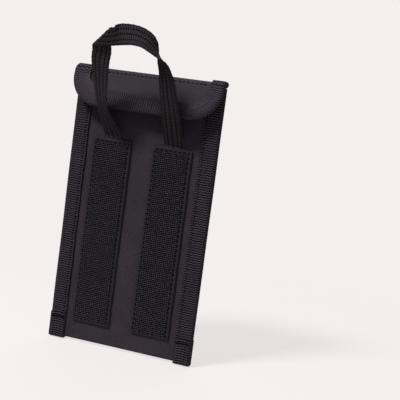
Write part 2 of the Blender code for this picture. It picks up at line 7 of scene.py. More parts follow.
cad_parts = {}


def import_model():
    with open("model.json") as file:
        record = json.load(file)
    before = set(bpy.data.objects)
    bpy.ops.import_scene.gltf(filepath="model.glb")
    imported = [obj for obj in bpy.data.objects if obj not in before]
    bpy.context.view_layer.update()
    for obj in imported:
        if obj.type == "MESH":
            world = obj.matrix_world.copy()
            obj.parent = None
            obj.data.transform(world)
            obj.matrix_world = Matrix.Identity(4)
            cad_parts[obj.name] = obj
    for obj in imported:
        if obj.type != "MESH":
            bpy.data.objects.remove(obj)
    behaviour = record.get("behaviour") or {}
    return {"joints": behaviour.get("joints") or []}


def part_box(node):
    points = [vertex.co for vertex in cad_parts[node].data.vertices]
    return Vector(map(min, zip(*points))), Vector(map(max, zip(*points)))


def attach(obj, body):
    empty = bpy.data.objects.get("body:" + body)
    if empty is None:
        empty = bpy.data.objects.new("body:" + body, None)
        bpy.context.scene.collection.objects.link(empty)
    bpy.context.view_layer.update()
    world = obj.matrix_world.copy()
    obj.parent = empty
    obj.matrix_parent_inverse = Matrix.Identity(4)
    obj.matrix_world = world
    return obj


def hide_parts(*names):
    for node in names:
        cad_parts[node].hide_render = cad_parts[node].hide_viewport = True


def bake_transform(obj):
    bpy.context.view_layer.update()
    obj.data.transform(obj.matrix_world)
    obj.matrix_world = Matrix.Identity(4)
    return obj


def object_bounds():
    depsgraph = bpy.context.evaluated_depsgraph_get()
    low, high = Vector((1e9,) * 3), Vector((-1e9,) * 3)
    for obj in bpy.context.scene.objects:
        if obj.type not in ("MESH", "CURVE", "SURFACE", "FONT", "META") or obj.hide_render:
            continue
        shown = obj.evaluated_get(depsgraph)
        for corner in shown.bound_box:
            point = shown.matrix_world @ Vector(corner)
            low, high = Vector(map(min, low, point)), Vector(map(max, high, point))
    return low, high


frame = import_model()
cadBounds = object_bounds()
mm = 0.001

# sizes below are in millimetres unless a note says otherwise


# selecting and shaping

def deselectAll():
    if bpy.context.object and bpy.context.object.mode != "OBJECT":
        bpy.ops.object.mode_set(mode="OBJECT")
    bpy.ops.object.select_all(action="DESELECT")


def pick(piece):
    deselectAll()
    piece.select_set(True)
    bpy.context.view_layer.objects.active = piece


def readPoints(piece):
    points = np.empty(len(piece.data.vertices) * 3)
    piece.data.vertices.foreach_get("co", points)
    return points.reshape(-1, 3)


def writePoints(piece, points):
    piece.data.vertices.foreach_set("co", np.ascontiguousarray(points, dtype=np.float32).ravel())
    piece.data.update()


def readUv(piece):
    uv = np.empty(len(piece.data.loops) * 2, dtype=np.float32)
    piece.data.uv_layers.active.data.foreach_get("uv", uv)
    return uv.reshape(-1, 2)


def writeUv(piece, uv):
    piece.data.uv_layers.active.data.foreach_set("uv", uv.astype(np.float32).ravel())


def boxOf(node):
    low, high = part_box(node)
    return np.array(low) / mm, np.array(high) / mm


def shapedGrid(name, across, along, place, flat):
    # a flat grid whose points are put in place by their share across (u) and along (v)
    deselectAll()
    bpy.ops.mesh.primitive_grid_add(x_subdivisions=across, y_subdivisions=along, size=1.0, calc_uvs=True)
    piece = bpy.context.object
    piece.name = piece.data.name = name
    grid = readPoints(piece)
    u = np.clip(grid[:, 0] + 0.5, 0, 1)
    v = np.clip(grid[:, 1] + 0.5, 0, 1)
    x, y, z = place(u, v)
    writePoints(piece, np.stack([x + 0 * u, y + 0 * u, z + 0 * u], axis=1) * mm)
    writeUv(piece, readUv(piece) * np.array(flat) * mm)          # the pattern's map is in real metres
    return piece


def turnFaces(piece, flip=False):
    # turns every face over, or makes them all face outward
    pick(piece)
    bpy.ops.object.mode_set(mode="EDIT")
    bpy.ops.mesh.select_all(action="SELECT")
    if flip:
        bpy.ops.mesh.flip_normals()
    else:
        bpy.ops.mesh.normals_make_consistent(inside=False)
    bpy.ops.object.mode_set(mode="OBJECT")


def closeTube(piece):
    # joins the seam along the tube and closes its two ends
    pick(piece)
    bpy.ops.object.mode_set(mode="EDIT")
    bpy.ops.mesh.select_all(action="SELECT")
    bpy.ops.mesh.remove_doubles(threshold=0.002 * mm)
    bpy.ops.mesh.select_all(action="DESELECT")
    bpy.ops.mesh.select_non_manifold(extend=False, use_wire=False, use_boundary=True,
                                     use_multi_face=False, use_non_contiguous=False, use_verts=False)
    bpy.ops.mesh.fill_holes(sides=0)
    turnFaces(piece)


def thicken(piece, thick):
    pick(piece)
    wall = piece.modifiers.new("wall", "SOLIDIFY")
    wall.thickness = thick * mm
    wall.offset = -1.0
    wall.use_even_offset = True
    bpy.ops.object.modifier_apply(modifier=wall.name)


def shadeSoft(piece, angle=50):
    pick(piece)
    bpy.ops.object.shade_smooth_by_angle(angle=math.radians(angle))


def joinAll(name, parts):
    deselectAll()
    for part in parts:
        part.select_set(True)
    bpy.context.view_layer.objects.active = parts[0]
    if len(parts) > 1:
        bpy.ops.object.join()
    piece = bpy.context.object
    piece.name = piece.data.name = name
    return piece


def dress(piece, material, slot, *nodes):
    piece.data.materials.clear()
    piece.data.materials.append(material)
    if nodes:
        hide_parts(*nodes)


def smoothStep(value):
    value = np.clip(value, 0, 1)
    return value * value * (3 - 2 * value)


def ripple(a, b, wave, turn=0.0):
    # a slow, uneven swell of about -1 to 1
    return (np.sin(a / wave + 1.7 * turn) * np.cos(b / (wave * 1.37) + turn)
            + 0.5 * np.sin((a + b) / (wave * 0.61) + 2.3 * turn)) / 1.5


# materials

def calc(tree, operation, first, second=None):
    node = tree.nodes.new("ShaderNodeMath")
    node.operation = operation
    for socket, value in zip(node.inputs, (first, second)):
        if value is None:
            continue
        if isinstance(value, (int, float)):
            socket.default_value = value
        else:
            tree.links.new(value, socket)
    return node.outputs[0]


def ridgeWave(tree, value, factor=math.pi):
    # rounded ridges, one for each whole step of the value
    return calc(tree, "ABSOLUTE", calc(tree, "SINE", calc(tree, "MULTIPLY", value, factor)))


def setInputs(node, values):
    for socket, value in values.items():
        node.inputs[socket].default_value = value


def noiseOn(tree, place, wave, detail):
    noise = tree.nodes.new("ShaderNodeTexNoise")
    setInputs(noise, {"Scale": 1 / (wave * mm), "Detail": detail})
    tree.links.new(place, noise.inputs["Vector"])
    return noise.outputs["Fac"]


def clothWeave(tree, u, v, look):
    # plain weave: the thread on top changes at every crossing
    acrossWave = calc(tree, "SINE", calc(tree, "MULTIPLY", u, math.pi / (look["pitch"] * mm)))
    alongWave = calc(tree, "SINE", calc(tree, "MULTIPLY", v, math.pi / (look["pitch"] * mm)))
    over = calc(tree, "GREATER_THAN", calc(tree, "MULTIPLY", acrossWave, alongWave), 0.0)
    warp = calc(tree, "MULTIPLY", over, calc(tree, "ABSOLUTE", acrossWave))
    weft = calc(tree, "MULTIPLY", calc(tree, "SUBTRACT", 1.0, over), calc(tree, "ABSOLUTE", alongWave))
    return calc(tree, "ADD", warp, weft)


def tapeRibs(tree, u, v, look):
    # fine warp threads that run along the tape, over its modelled ribs
    fine = ridgeWave(tree, u, math.pi / (look["pitch"] * mm))
    lean = calc(tree, "PINGPONG", calc(tree, "DIVIDE", u, look["column"] * mm), 1.0)
    phase = calc(tree, "ADD", calc(tree, "DIVIDE", v, look["ribPitch"] * mm),
                 calc(tree, "MULTIPLY", calc(tree, "SUBTRACT", 1.0, lean), look["shift"]))
    ribs = ridgeWave(tree, phase)
    return calc(tree, "ADD", calc(tree, "MULTIPLY", fine, 0.25), calc(tree, "MULTIPLY", ribs, 0.8))


def webbingChevrons(tree, u, v, look):
    # slanted floats that lean the other way in every second column
    column = calc(tree, "DIVIDE", u, look["column"] * mm)
    lean = calc(tree, "MULTIPLY", calc(tree, "PINGPONG", column, 1.0), look["lean"])
    row = calc(tree, "ADD", calc(tree, "DIVIDE", v, look["pitch"] * mm), lean)
    floats, ridge = ridgeWave(tree, row), ridgeWave(tree, column)
    return calc(tree, "MULTIPLY", calc(tree, "ADD", floats, 0.25), calc(tree, "ADD", ridge, 0.35))


def threadTwist(tree, u, v, look):
    twist = calc(tree, "ADD", calc(tree, "MULTIPLY", u, 2 / (look["pitch"] * mm)),
                 calc(tree, "DIVIDE", v, look["pitch"] * mm))
    return ridgeWave(tree, twist)


patterns = {"cloth": clothWeave, "tape": tapeRibs, "webbing": webbingChevrons, "thread": threadTwist}


def fabricMaterial(name, look):
    material = bpy.data.materials.new(name)
    material.use_nodes = True
    tree = material.node_tree
    shader = tree.nodes["Principled BSDF"]
    setInputs(shader, {"Metallic": 0.0, "Specular IOR Level": look["gloss"], "Sheen Weight": look["sheen"],
                       "Sheen Roughness": 0.45, "Sheen Tint": (*look["sheenColour"], 1.0)})
    spot = tree.nodes.new("ShaderNodeTexCoord")
    apart = tree.nodes.new("ShaderNodeSeparateXYZ")
    tree.links.new(spot.outputs["UV"], apart.inputs["Vector"])
    wide = noiseOn(tree, spot.outputs["Object"], look["blotch"], 4.0)
    fine = noiseOn(tree, spot.outputs["Object"], look["speck"], 2.0)
    if look["pattern"] in patterns:
        height = patterns[look["pattern"]](tree, apart.outputs[0], apart.outputs[1], look)
    else:
        height = noiseOn(tree, spot.outputs["Object"], look["pitch"], 5.0)
    # colour: random blotches and specks, plus painted shade: the pattern's low places, such as the gaps
    # between threads and the valleys between ribs, are painted darker and its raised tops lighter
    shade = calc(tree, "ADD", calc(tree, "MULTIPLY", wide, look["blotchShare"]),
                 calc(tree, "ADD", calc(tree, "MULTIPLY", fine, look["speckShare"]),
                      calc(tree, "MULTIPLY", height, look["paintedShadeShare"])))
    ramp = tree.nodes.new("ShaderNodeValToRGB")
    for k, (place, colour) in enumerate((("low", "dark"), ("high", "light"))):
        ramp.color_ramp.elements[k].position = look[place]
        ramp.color_ramp.elements[k].color = (*look[colour], 1.0)
    tree.links.new(shade, ramp.inputs["Fac"])
    tree.links.new(ramp.outputs["Color"], shader.inputs["Base Color"])
    rough = tree.nodes.new("ShaderNodeMapRange")
    setInputs(rough, dict(zip(("To Min", "To Max"), look["rough"])))
    tree.links.new(wide, rough.inputs["Value"])
    tree.links.new(rough.outputs["Result"], shader.inputs["Roughness"])
    grain = calc(tree, "ADD", height, calc(tree, "MULTIPLY", fine, look["fuzz"]))
    bump = tree.nodes.new("ShaderNodeBump")
    setInputs(bump, {"Strength": 1.0, "Distance": look["depth"] * mm})
    tree.links.new(grain, bump.inputs["Height"])
    tree.links.new(bump.outputs["Normal"], shader.inputs["Normal"])
    return material


# in every look, the pattern's share of the colour is painted shade: darker in the pattern's lows, lighter on
# its tops
plainCloth = dict(pattern="cloth", depth=0.10, fuzz=0.6, blotch=8.0, low=0.25, high=1.1, blotchShare=0.35,
                  speckShare=0.45, paintedShadeShare=0.3, rough=(0.6, 0.8), gloss=0.12, sheen=0.0,
                  sheenColour=(1, 1, 1))
looks = {
    "pouchCloth": dict(plainCloth, pitch=0.55, depth=0.14, fuzz=0.8, blotch=14.0, speck=0.75, low=0.32,
                       high=0.92, speckShare=0.55, dark=(0.0105, 0.0080, 0.0112),
                       light=(0.0430, 0.0325, 0.0450), rough=(0.75, 0.92), gloss=0.10, sheen=0.02,
                       sheenColour=(0.55, 0.50, 0.56)),
    # the flap is the same cloth as the pouch; this copy is painted lighter, as painted light where the flap
    # faces up to the key lamp
    "flapCloth": dict(plainCloth, pitch=0.46, depth=0.12, blotch=14.0, speck=0.60, low=0.30, high=0.95,
                      paintedShadeShare=0.35, dark=(0.0130, 0.0100, 0.0138), light=(0.0500, 0.0395, 0.0520),
                      rough=(0.70, 0.88), gloss=0.14, sheen=0.03, sheenColour=(0.55, 0.50, 0.56)),
    "liningCloth": dict(plainCloth, pitch=0.25, depth=0.04, fuzz=0.4, blotch=20.0, speck=0.4, low=0.2,
                        high=1.0, blotchShare=0.5, speckShare=0.3, paintedShadeShare=0.2,
                        dark=(0.016, 0.013, 0.017), light=(0.030, 0.026, 0.032), rough=(0.6, 0.75),
                        gloss=0.15, sheen=0.02, sheenColour=(0.6, 0.56, 0.6)),
    "foam": dict(plainCloth, pattern="cells", pitch=0.6, depth=0.15, fuzz=0.4, blotch=16.0, speck=0.5,
                 low=0.2, high=1.0, blotchShare=0.4, speckShare=0.4, dark=(0.04, 0.04, 0.042),
                 light=(0.08, 0.08, 0.084), rough=(0.85, 0.98), gloss=0.1),
    "bindingTape": dict(plainCloth, pattern="tape", pitch=0.38, ribPitch=1.45, shift=0.5, column=1.30,
                        depth=0.22, fuzz=0.5, blotch=9.0, speck=0.6, low=0.78, high=1.00, blotchShare=0.20,
                        speckShare=0.30, paintedShadeShare=0.85, dark=(0.0004, 0.0003, 0.0004),
                        light=(0.0440, 0.0335, 0.0455), rough=(0.65, 0.85), gloss=0.06),
    "hookTape": dict(plainCloth, pitch=0.40, speck=0.7, dark=(0.0012, 0.0009, 0.0016),
                     light=(0.0060, 0.0046, 0.0074)),
    "selvedge": dict(plainCloth, pitch=0.50, speck=0.6, dark=(0.0080, 0.0060, 0.0088),
                     light=(0.0260, 0.0200, 0.0280)),
    "hookWire": dict(plainCloth, pattern="grain", pitch=0.30, depth=0.01, fuzz=0.3, blotch=6.0, speck=0.9,
                     low=0.3, high=0.9, blotchShare=0.4, speckShare=0.6, paintedShadeShare=0.2,
                     dark=(0.0100, 0.0085, 0.0125), light=(0.0500, 0.0385, 0.0590), rough=(0.40, 0.55),
                     gloss=0.30),
    "loopTape": dict(plainCloth, pattern="fuzz", pitch=0.35, depth=0.30, fuzz=0.8, blotch=7.0, speck=0.5,
                     high=1.2, blotchShare=0.4, speckShare=0.5, paintedShadeShare=0.5,
                     dark=(0.0050, 0.0044, 0.0058), light=(0.0200, 0.0175, 0.0215), rough=(0.85, 0.98),
                     gloss=0.06, sheen=0.15, sheenColour=(0.5, 0.48, 0.52)),
    "webbing": dict(plainCloth, pattern="webbing", pitch=1.35, column=2.0, lean=0.55, depth=0.22, fuzz=0.35,
                    blotch=10.0, speck=0.5, low=0.60, high=1.15, blotchShare=0.20, speckShare=0.25,
                    paintedShadeShare=0.85, dark=(0.0003, 0.0002, 0.0003), light=(0.0270, 0.0207, 0.0247),
                    rough=(0.60, 0.80), gloss=0.06),
    "thread": dict(plainCloth, pattern="thread", pitch=0.35, depth=0.04, fuzz=0.3, blotch=5.0, speck=0.4,
                   low=0.2, high=1.2, speckShare=0.35, paintedShadeShare=0.4, dark=(0.0006, 0.0005, 0.0007),
                   light=(0.0030, 0.0025, 0.0034), rough=(0.55, 0.7), gloss=0.08),
}
finishes = {name: fabricMaterial(name, look) for name, look in looks.items()}
print("materials ready:", len(finishes))


# camera, floor and light

# places and sizes in metres
studio = dict(place=(0.2367, -0.5491, 0.0900), turn=(84.04, -7.585, 20.37), lens=90.0,
              backdrop=(0.911, 0.855, 0.858), roomLight=(1.0, 0.97, 0.98), worldLight=0.22,
              floorSize=8.0, floorDrop=0.0006, floorPaint=(0.16, 0.155, 0.155), floorGlow=0.78,
              floorReach=(0.16, 0.50),
              key=dict(place=(-0.45, -0.95, 1.15), size=0.32, power=31.0),
              fill=dict(place=(0.9, -1.0, 0.3), size=1.0, power=3.0),
              back=dict(place=(-0.2, 0.8, 0.9), size=0.8, power=5.0))


def aimLamp(name, lamp):
    # a square lamp that looks at the origin, which is inside the pouch
    data = bpy.data.lights.new(name, "AREA")
    data.shape = "SQUARE"
    data.size = lamp["size"]
    data.energy = lamp["power"]
    item = bpy.data.objects.new(name, data)
    item.location = lamp["place"]
    item.rotation_euler = Vector(lamp["place"]).to_track_quat("Z", "Y").to_euler()
    bpy.context.collection.objects.link(item)


def makeStudio():
    cameraData = bpy.data.cameras.new("viewCamera")
    cameraData.lens = studio["lens"]
    cameraData.sensor_width = 36.0
    cameraData.clip_start = 0.01
    camera = bpy.data.objects.new("viewCamera", cameraData)
    camera.location = studio["place"]
    camera.rotation_euler = [math.radians(angle) for angle in studio["turn"]]
    bpy.context.collection.objects.link(camera)
    bpy.context.scene.camera = camera

    scene = bpy.context.scene
    scene.view_settings.view_transform = "Standard"
    world = bpy.data.worlds.new("paleRoom")
    scene.world = world
    world.use_nodes = True
    tree = world.node_tree
    seen = tree.nodes["Background"]
    setInputs(seen, {"Color": (*studio["backdrop"], 1.0)})
    lit = tree.nodes.new("ShaderNodeBackground")
    setInputs(lit, {"Color": (*studio["roomLight"], 1.0), "Strength": studio["worldLight"]})
    rays = tree.nodes.new("ShaderNodeLightPath")
    choose = tree.nodes.new("ShaderNodeMixShader")
    tree.links.new(rays.outputs["Is Camera Ray"], choose.inputs["Fac"])
    tree.links.new(lit.outputs[0], choose.inputs[1])
    tree.links.new(seen.outputs[0], choose.inputs[2])
    tree.links.new(choose.outputs[0], tree.nodes["World Output"].inputs["Surface"])
    for name in ("key", "fill", "back"):
        aimLamp(name + "Lamp", studio[name])


def makeFloor():
    deselectAll()
    low = cadBounds[0][2] - studio["floorDrop"]
    bpy.ops.mesh.primitive_plane_add(size=studio["floorSize"], location=(0, 0, low))
    floor = bpy.context.object
    floor.name = "floor"
    material = bpy.data.materials.new("paleFloor")
    material.use_nodes = True
    tree = material.node_tree
    paint = tree.nodes["Principled BSDF"]
    setInputs(paint, {"Base Color": (*studio["floorPaint"], 1.0), "Roughness": 0.9, "Specular IOR Level": 0.0,
                      "Emission Color": (*studio["backdrop"], 1.0), "Emission Strength": studio["floorGlow"]})
    # the floor fades into the pale room, so that no line shows where it ends
    where = tree.nodes.new("ShaderNodeTexCoord")
    away = tree.nodes.new("ShaderNodeVectorMath")
    away.operation = "LENGTH"
    tree.links.new(where.outputs["Object"], away.inputs[0])
    fade = tree.nodes.new("ShaderNodeMapRange")
    fade.interpolation_type = "SMOOTHSTEP"
    setInputs(fade, dict(zip(("From Min", "From Max"), studio["floorReach"])))
    tree.links.new(away.outputs["Value"], fade.inputs["Value"])
    clear = tree.nodes.new("ShaderNodeBsdfTransparent")
    mix = tree.nodes.new("ShaderNodeMixShader")
    tree.links.new(fade.outputs["Result"], mix.inputs["Fac"])
    tree.links.new(paint.outputs[0], mix.inputs[1])
    tree.links.new(clear.outputs[0], mix.inputs[2])
    tree.links.new(mix.outputs[0], tree.nodes["Material Output"].inputs["Surface"])
    floor.data.materials.append(material)


makeStudio()
makeFloor()
print("studio ready")


# shapes that several pieces share: the bowed back and the folded flap

frontLow, frontHigh = boxOf("front_panel")
_, bindHigh = boxOf("side_binding_right")
swing = next(joint for joint in frame["joints"] if joint["name"] == "handle_swing")

mouthToTop = 8.0
edgeDepth = 1.1         # from the front's face to the back cloth's inner face, at the sides
# the bow is the room that the back cloth makes for what the pouch carries
body = dict(half=bindHigh[0], panelHalf=frontHigh[0], frontY=frontLow[1], bottomZ=frontLow[2],
            mouthZ=frontHigh[2], topZ=frontHigh[2] + mouthToTop, edgeY=frontLow[1] + edgeDepth,
            cloth=0.8, gap=0.3, bow=6.8, bowWidth=73.0, bowFlat=36.0, bowRise=22.0, bowStart=5.0, topLoss=1.7)
flap = dict(foldBack=0.5, bend=3.0, lean=14.0, drop=22.5, corner=18.0, stack=1.4, rollRise=0.35, seamS=3.2,
            wave=0.45)


def backInnerY(x, z):
    across = smoothStep((body["bowWidth"] / 2 - np.abs(x)) / (body["bowWidth"] / 2 - body["bowFlat"] / 2))
    up = smoothStep((z - body["bottomZ"] - body["bowStart"]) / body["bowRise"])
    nearTop = smoothStep((z - body["mouthZ"]) / (body["topZ"] - body["mouthZ"]))
    return body["edgeY"] + across * up * (body["bow"] - body["topLoss"] * nearTop)


flapMidZ = body["topZ"] - flap["stack"] / 2
flapLean = math.radians(flap["lean"])
flapArc = flap["bend"] * (math.pi / 2 - flapLean)
flapRun = ((flap["drop"] - flap["stack"] / 2 - flap["bend"] * (1 - math.sin(flapLean))) / math.cos(flapLean))
flapLength = flapArc + flapRun


def topEdgeBack(x):
    return backInnerY(x, body["topZ"]) + body["cloth"] - flap["foldBack"]


def flapPoint(x, s, n):
    # s runs from the fold's front edge down to the free edge, n is the height off the cloth's middle
    turned = np.clip(s, 0, flapArc) / flap["bend"]
    reach = flap["bend"] + n
    rest = np.maximum(0, s - flapArc)
    sag = smoothStep(s / flapLength)
    wave = flap["wave"] * sag * ripple(x, s, 17.0, 0.6)
    y = flap["foldBack"] - reach * np.sin(turned) - rest * math.sin(flapLean) - wave
    z = flapMidZ - flap["bend"] + reach * np.cos(turned) - rest * math.cos(flapLean)
    y = np.where(s < 0, flap["foldBack"] - s, y)
    z = np.where(s < 0, flapMidZ + n, z)
    return x, y, z


def flapHalf(s, inset):
    radius = flap["corner"] - inset
    along = np.maximum(0, s - (flapLength - flap["corner"]))
    return body["half"] - inset - radius + np.sqrt(np.maximum(0.0, radius ** 2 - along ** 2))


def flapRim(d, inset):
    # walks round the flap's edge: left side, left corner, free edge, right corner, right side
    radius = flap["corner"]
    turn = flapLength - radius
    back = topEdgeBack(body["half"])
    side = back + turn
    quarter = math.pi / 2 * radius
    bottom = 2 * (body["half"] - radius)
    total = 2 * side + 2 * quarter + bottom
    mirrored = d > total / 2
    walked = np.where(mirrored, total - d, d)
    inner = radius - inset
    angle = np.clip((walked - side) / radius, 0, math.pi / 2)
    s = np.where(walked < side, walked - back, turn + inner * np.sin(angle))
    x = np.where(walked < side, body["half"] - inset, body["half"] - inset - inner + inner * np.cos(angle))
    x = x - np.maximum(0, walked - side - quarter)
    return np.where(mirrored, x, -x), s


flapRimLength = (2 * (topEdgeBack(body["half"]) + flapLength - flap["corner"]) + math.pi * flap["corner"]
                 + 2 * (body["half"] - flap["corner"]))


# thread

threadShape = dict(pitch=2.7, share=0.72, thick=0.55, arch=0.16)


def oneStitch(thread):
    # a short bent run of thread that dives into the cloth at both ends
    length = thread["pitch"] * thread["share"]
    radius = thread["thick"] / 2

    def bend(u, v):
        turn = 2 * math.pi * u
        t = 2 * v - 1
        girth = radius * np.sqrt(np.clip(1 - t ** 4, 0.05, 1))
        lift = thread["arch"] * (1 - 1.6 * t * t)
        return length / 2 * t, girth * np.sin(turn), lift + girth * 0.8 * np.cos(turn)

    stitch = shapedGrid("stitch", 6, 6, bend, (math.pi * thread["thick"], length))
    closeTube(stitch)
    shadeSoft(stitch, 80)
    return stitch


def spaced(points, pitch, closed=False):
    points = np.array(points, float)
    if closed:
        points = np.vstack([points, points[:1]])
    travelled = np.concatenate([[0], np.cumsum(np.linalg.norm(np.diff(points, axis=0), axis=1))])
    count = max(1, round(travelled[-1] / pitch))
    at = (np.arange(count) + 0.5) * travelled[-1] / count

    def along(distance):
        distance = np.clip(distance, 0, travelled[-1])
        return np.stack([np.interp(distance, travelled, points[:, k]) for k in range(3)], axis=1)

    return along(at), along(at + 0.4) - along(at - 0.4)


def boxRing(low, high, inset, y):
    # the corners of a seam that runs round a box, this far inside it
    left, right, bottom, top = low[0] + inset, high[0] - inset, low[2] + inset, high[2] - inset
    return [(left, y, bottom), (right, y, bottom), (right, y, top), (left, y, top)]


def sewLine(name, owner, nodes, points, outward, thread=threadShape, closed=False):
    # one modelled stitch, copied along the seam; outward points away from the cloth
    centres, tangents = spaced(points, thread["pitch"], closed)
    source = oneStitch(thread)
    copies = []
    for k, (centre, tangent) in enumerate(zip(centres, tangents)):
        up = Vector(outward).normalized()
        along = Vector(tangent).normalized()
        side = up.cross(along).normalized()
        up = along.cross(side)
        askew = 0.05 * math.sin(2.4 * k)                     # no two stitches lie quite alike
        along, side = along + side * askew, side - along * askew
        turn = Matrix((along, side, up)).transposed().to_4x4()
        copy = source.copy()
        copy.data = source.data.copy()
        copy.data.transform(Matrix.Translation(Vector(centre) * mm) @ turn)
        bpy.context.collection.objects.link(copy)
        copies.append(copy)
    bpy.data.objects.remove(source, do_unlink=True)
    seam = joinAll(name, copies)
    dress(seam, finishes["thread"], "thread", *nodes)
    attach(seam, owner)


# front of the pouch

def finishPanel(piece, node):
    thicken(piece, body["cloth"])
    shadeSoft(piece)
    dress(piece, finishes["pouchCloth"], "pouch_cloth", node)
    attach(piece, "pouch")


frontCloth = dict(columns=110, rows=190, hem=3.0, hemRise=0.25, wrinkle=0.16, fold=0.9, under=1.1)


def makeFrontCloth():
    shape = frontCloth
    height = body["mouthZ"] - body["bottomZ"]
    turned = math.pi / 2 * shape["fold"]
    total = height - shape["fold"] + turned + shape["under"]

    def place(u, v):
        x = (2 * u - 1) * body["panelHalf"]
        run = (1 - v) * total                                  # from the mouth down and under the bottom edge
        straight = height - shape["fold"]
        angle = np.clip((run - straight) / shape["fold"], 0, math.pi / 2)
        past = np.maximum(0, run - straight - turned)
        z = body["mouthZ"] - np.minimum(run, straight) - shape["fold"] * np.sin(angle)
        y = body["frontY"] + shape["fold"] * (1 - np.cos(angle)) + past
        inner = smoothStep((body["panelHalf"] - np.abs(x) - 8) / 10)
        swell = shape["wrinkle"] * inner * ripple(x, z, 13.0, 1.1)
        hem = shape["hemRise"] * smoothStep((z - body["mouthZ"] + shape["hem"]) / 0.6)
        return x, y - swell - hem, z

    piece = shapedGrid("frontCloth", shape["columns"], shape["rows"], place, (2 * body["panelHalf"], total))
    finishPanel(piece, "front_panel")


makeFrontCloth()
print("front cloth ready")


# back of the pouch

backCloth = dict(columns=56, rows=96, steps=20, slack=-0.012, mostMove=0.9, border=4.0, sideBorder=9.0)


def settleCloth(piece, held, shape):
    # the cloth is a little larger than its frame, so it settles into soft swells; its border is pinned
    before = readPoints(piece)
    group = piece.vertex_groups.new(name="sewn")
    group.add([int(k) for k in np.nonzero(held)[0]], 1.0, "REPLACE")
    cloth = piece.modifiers.new("settle", "CLOTH")
    cloth.settings.quality = 6
    cloth.settings.mass = 0.15
    cloth.settings.tension_stiffness = 20
    cloth.settings.compression_stiffness = 20
    cloth.settings.bending_stiffness = 2.0
    cloth.settings.shrink_min = shape["slack"]
    cloth.settings.vertex_group_mass = group.name
    cloth.settings.effector_weights.gravity = 0.15
    cloth.collision_settings.use_collision = False
    cloth.point_cache.frame_end = shape["steps"]
    for step in range(1, shape["steps"] + 1):
        bpy.context.scene.frame_set(step)
    pick(piece)
    bpy.ops.object.modifier_apply(modifier=cloth.name)
    bpy.context.scene.frame_set(1)
    after = readPoints(piece)
    move = after - before
    length = np.linalg.norm(move, axis=1, keepdims=True)
    most = shape["mostMove"] * mm
    capped = move * (most * np.tanh(length / most) / np.maximum(length, 1e-9))
    writePoints(piece, before + capped)
    piece.vertex_groups.clear()


def makeBackCloth():
    shape = backCloth
    low, high = boxOf("rear_panel")
    height = high[2] - low[2]

    def place(u, v):
        x = (1 - 2 * u) * body["panelHalf"]
        z = low[2] + v * height
        return x, backInnerY(x, z) + body["cloth"], z

    piece = shapedGrid("backCloth", shape["columns"], shape["rows"], place, (2 * body["panelHalf"], height))
    x, _, z = readPoints(piece).T / mm
    held = ((np.abs(x) > body["panelHalf"] - shape["sideBorder"]) | (z < low[2] + shape["border"])
            | (z > high[2] - shape["border"]))
    settleCloth(piece, held, shape)
    pick(piece)
    finer = piece.modifiers.new("finer", "SUBSURF")
    finer.levels = finer.render_levels = 1
    bpy.ops.object.modifier_apply(modifier=finer.name)
    finishPanel(piece, "rear_panel")


makeBackCloth()
print("back cloth ready")


# inside the pocket: linings and the foam behind them

inside = dict(columns=40, rows=90, lining=0.3, foam=1.0, seamPuff=0.12, press=0.1, ease=1.01, flatPuff=0.08)


def pocketLayer(name, node, look, slot, thick, place):
    low, high = boxOf(node)
    width, height = high[0] - low[0], high[2] - low[2]

    def spread(u, v):
        return place(low, high, u * width, low[2] + v * height)

    piece = shapedGrid(name, inside["columns"], inside["rows"], spread, (width, height))
    thicken(piece, thick)
    shadeSoft(piece)
    dress(piece, finishes[look], slot, node)
    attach(piece, "pouch")
    return piece, width, height


def makeInside():
    foam, lining, gap = inside["foam"], inside["lining"], body["gap"]

    def before(off):
        # a layer that lies this far in front of the back cloth
        def place(low, high, run, z):
            x = low[0] + run
            return x, backInnerY(x, z) - off + inside["seamPuff"] * ripple(x, z, 11.0, 0.4), z
        return place

    def onFront(low, high, run, z):
        x = high[0] - run
        return x, high[1] + inside["flatPuff"] * ripple(x, z, 9.0, 0.2), z

    piece, _, _ = pocketLayer("backFoam", "rear_foam", "foam", "foam", foam - inside["press"],
                              before(foam + gap))
    piece, width, height = pocketLayer("backLining", "rear_lining", "liningCloth", "lining_cloth",
                                       lining - inside["press"], before(foam + lining + 2 * gap))
    piece, width, height = pocketLayer("frontLining", "front_lining", "liningCloth", "lining_cloth", lining,
                                       onFront)


makeInside()
print("pocket ready")


# ribbed tape bound round the sides

sideTape = dict(ribPitch=1.45, ribRise=0.34, thick=0.75, across=40, perRib=5, shift=0.5, column=1.30,
                width=10.5, rise=1.1, seamInset=1.6, seamDip=0.22, seamWidth=0.7, endHeight=15.0,
                endDrop=1.0, endExtra=0.8, endSides=12.0, endAround=72)
endLock = dict(turns=11, start=10.0, step=0.85, swing=1.1, below=2.6, out=1.05, pitch=2.36, share=0.95)


def ribHeight(along, across, shape):
    # rounded ribs across the tape, staggered a little from column to column
    phase = along / shape["ribPitch"] + shape["shift"] * np.abs((across / shape["column"]) % 2 - 1)
    return shape["ribRise"] * (np.sqrt(np.abs(np.sin(math.pi * phase))) - 0.5)


def tapeRelief(along, run, total, shape):
    # the ribs, drawn in where the tape is sewn near its two edges
    seam = np.minimum(np.abs(run - shape["seamInset"]), np.abs(total - run - shape["seamInset"]))
    return ribHeight(along, run, shape) - shape["seamDip"] * np.exp(-(seam / shape["seamWidth"]) ** 2)


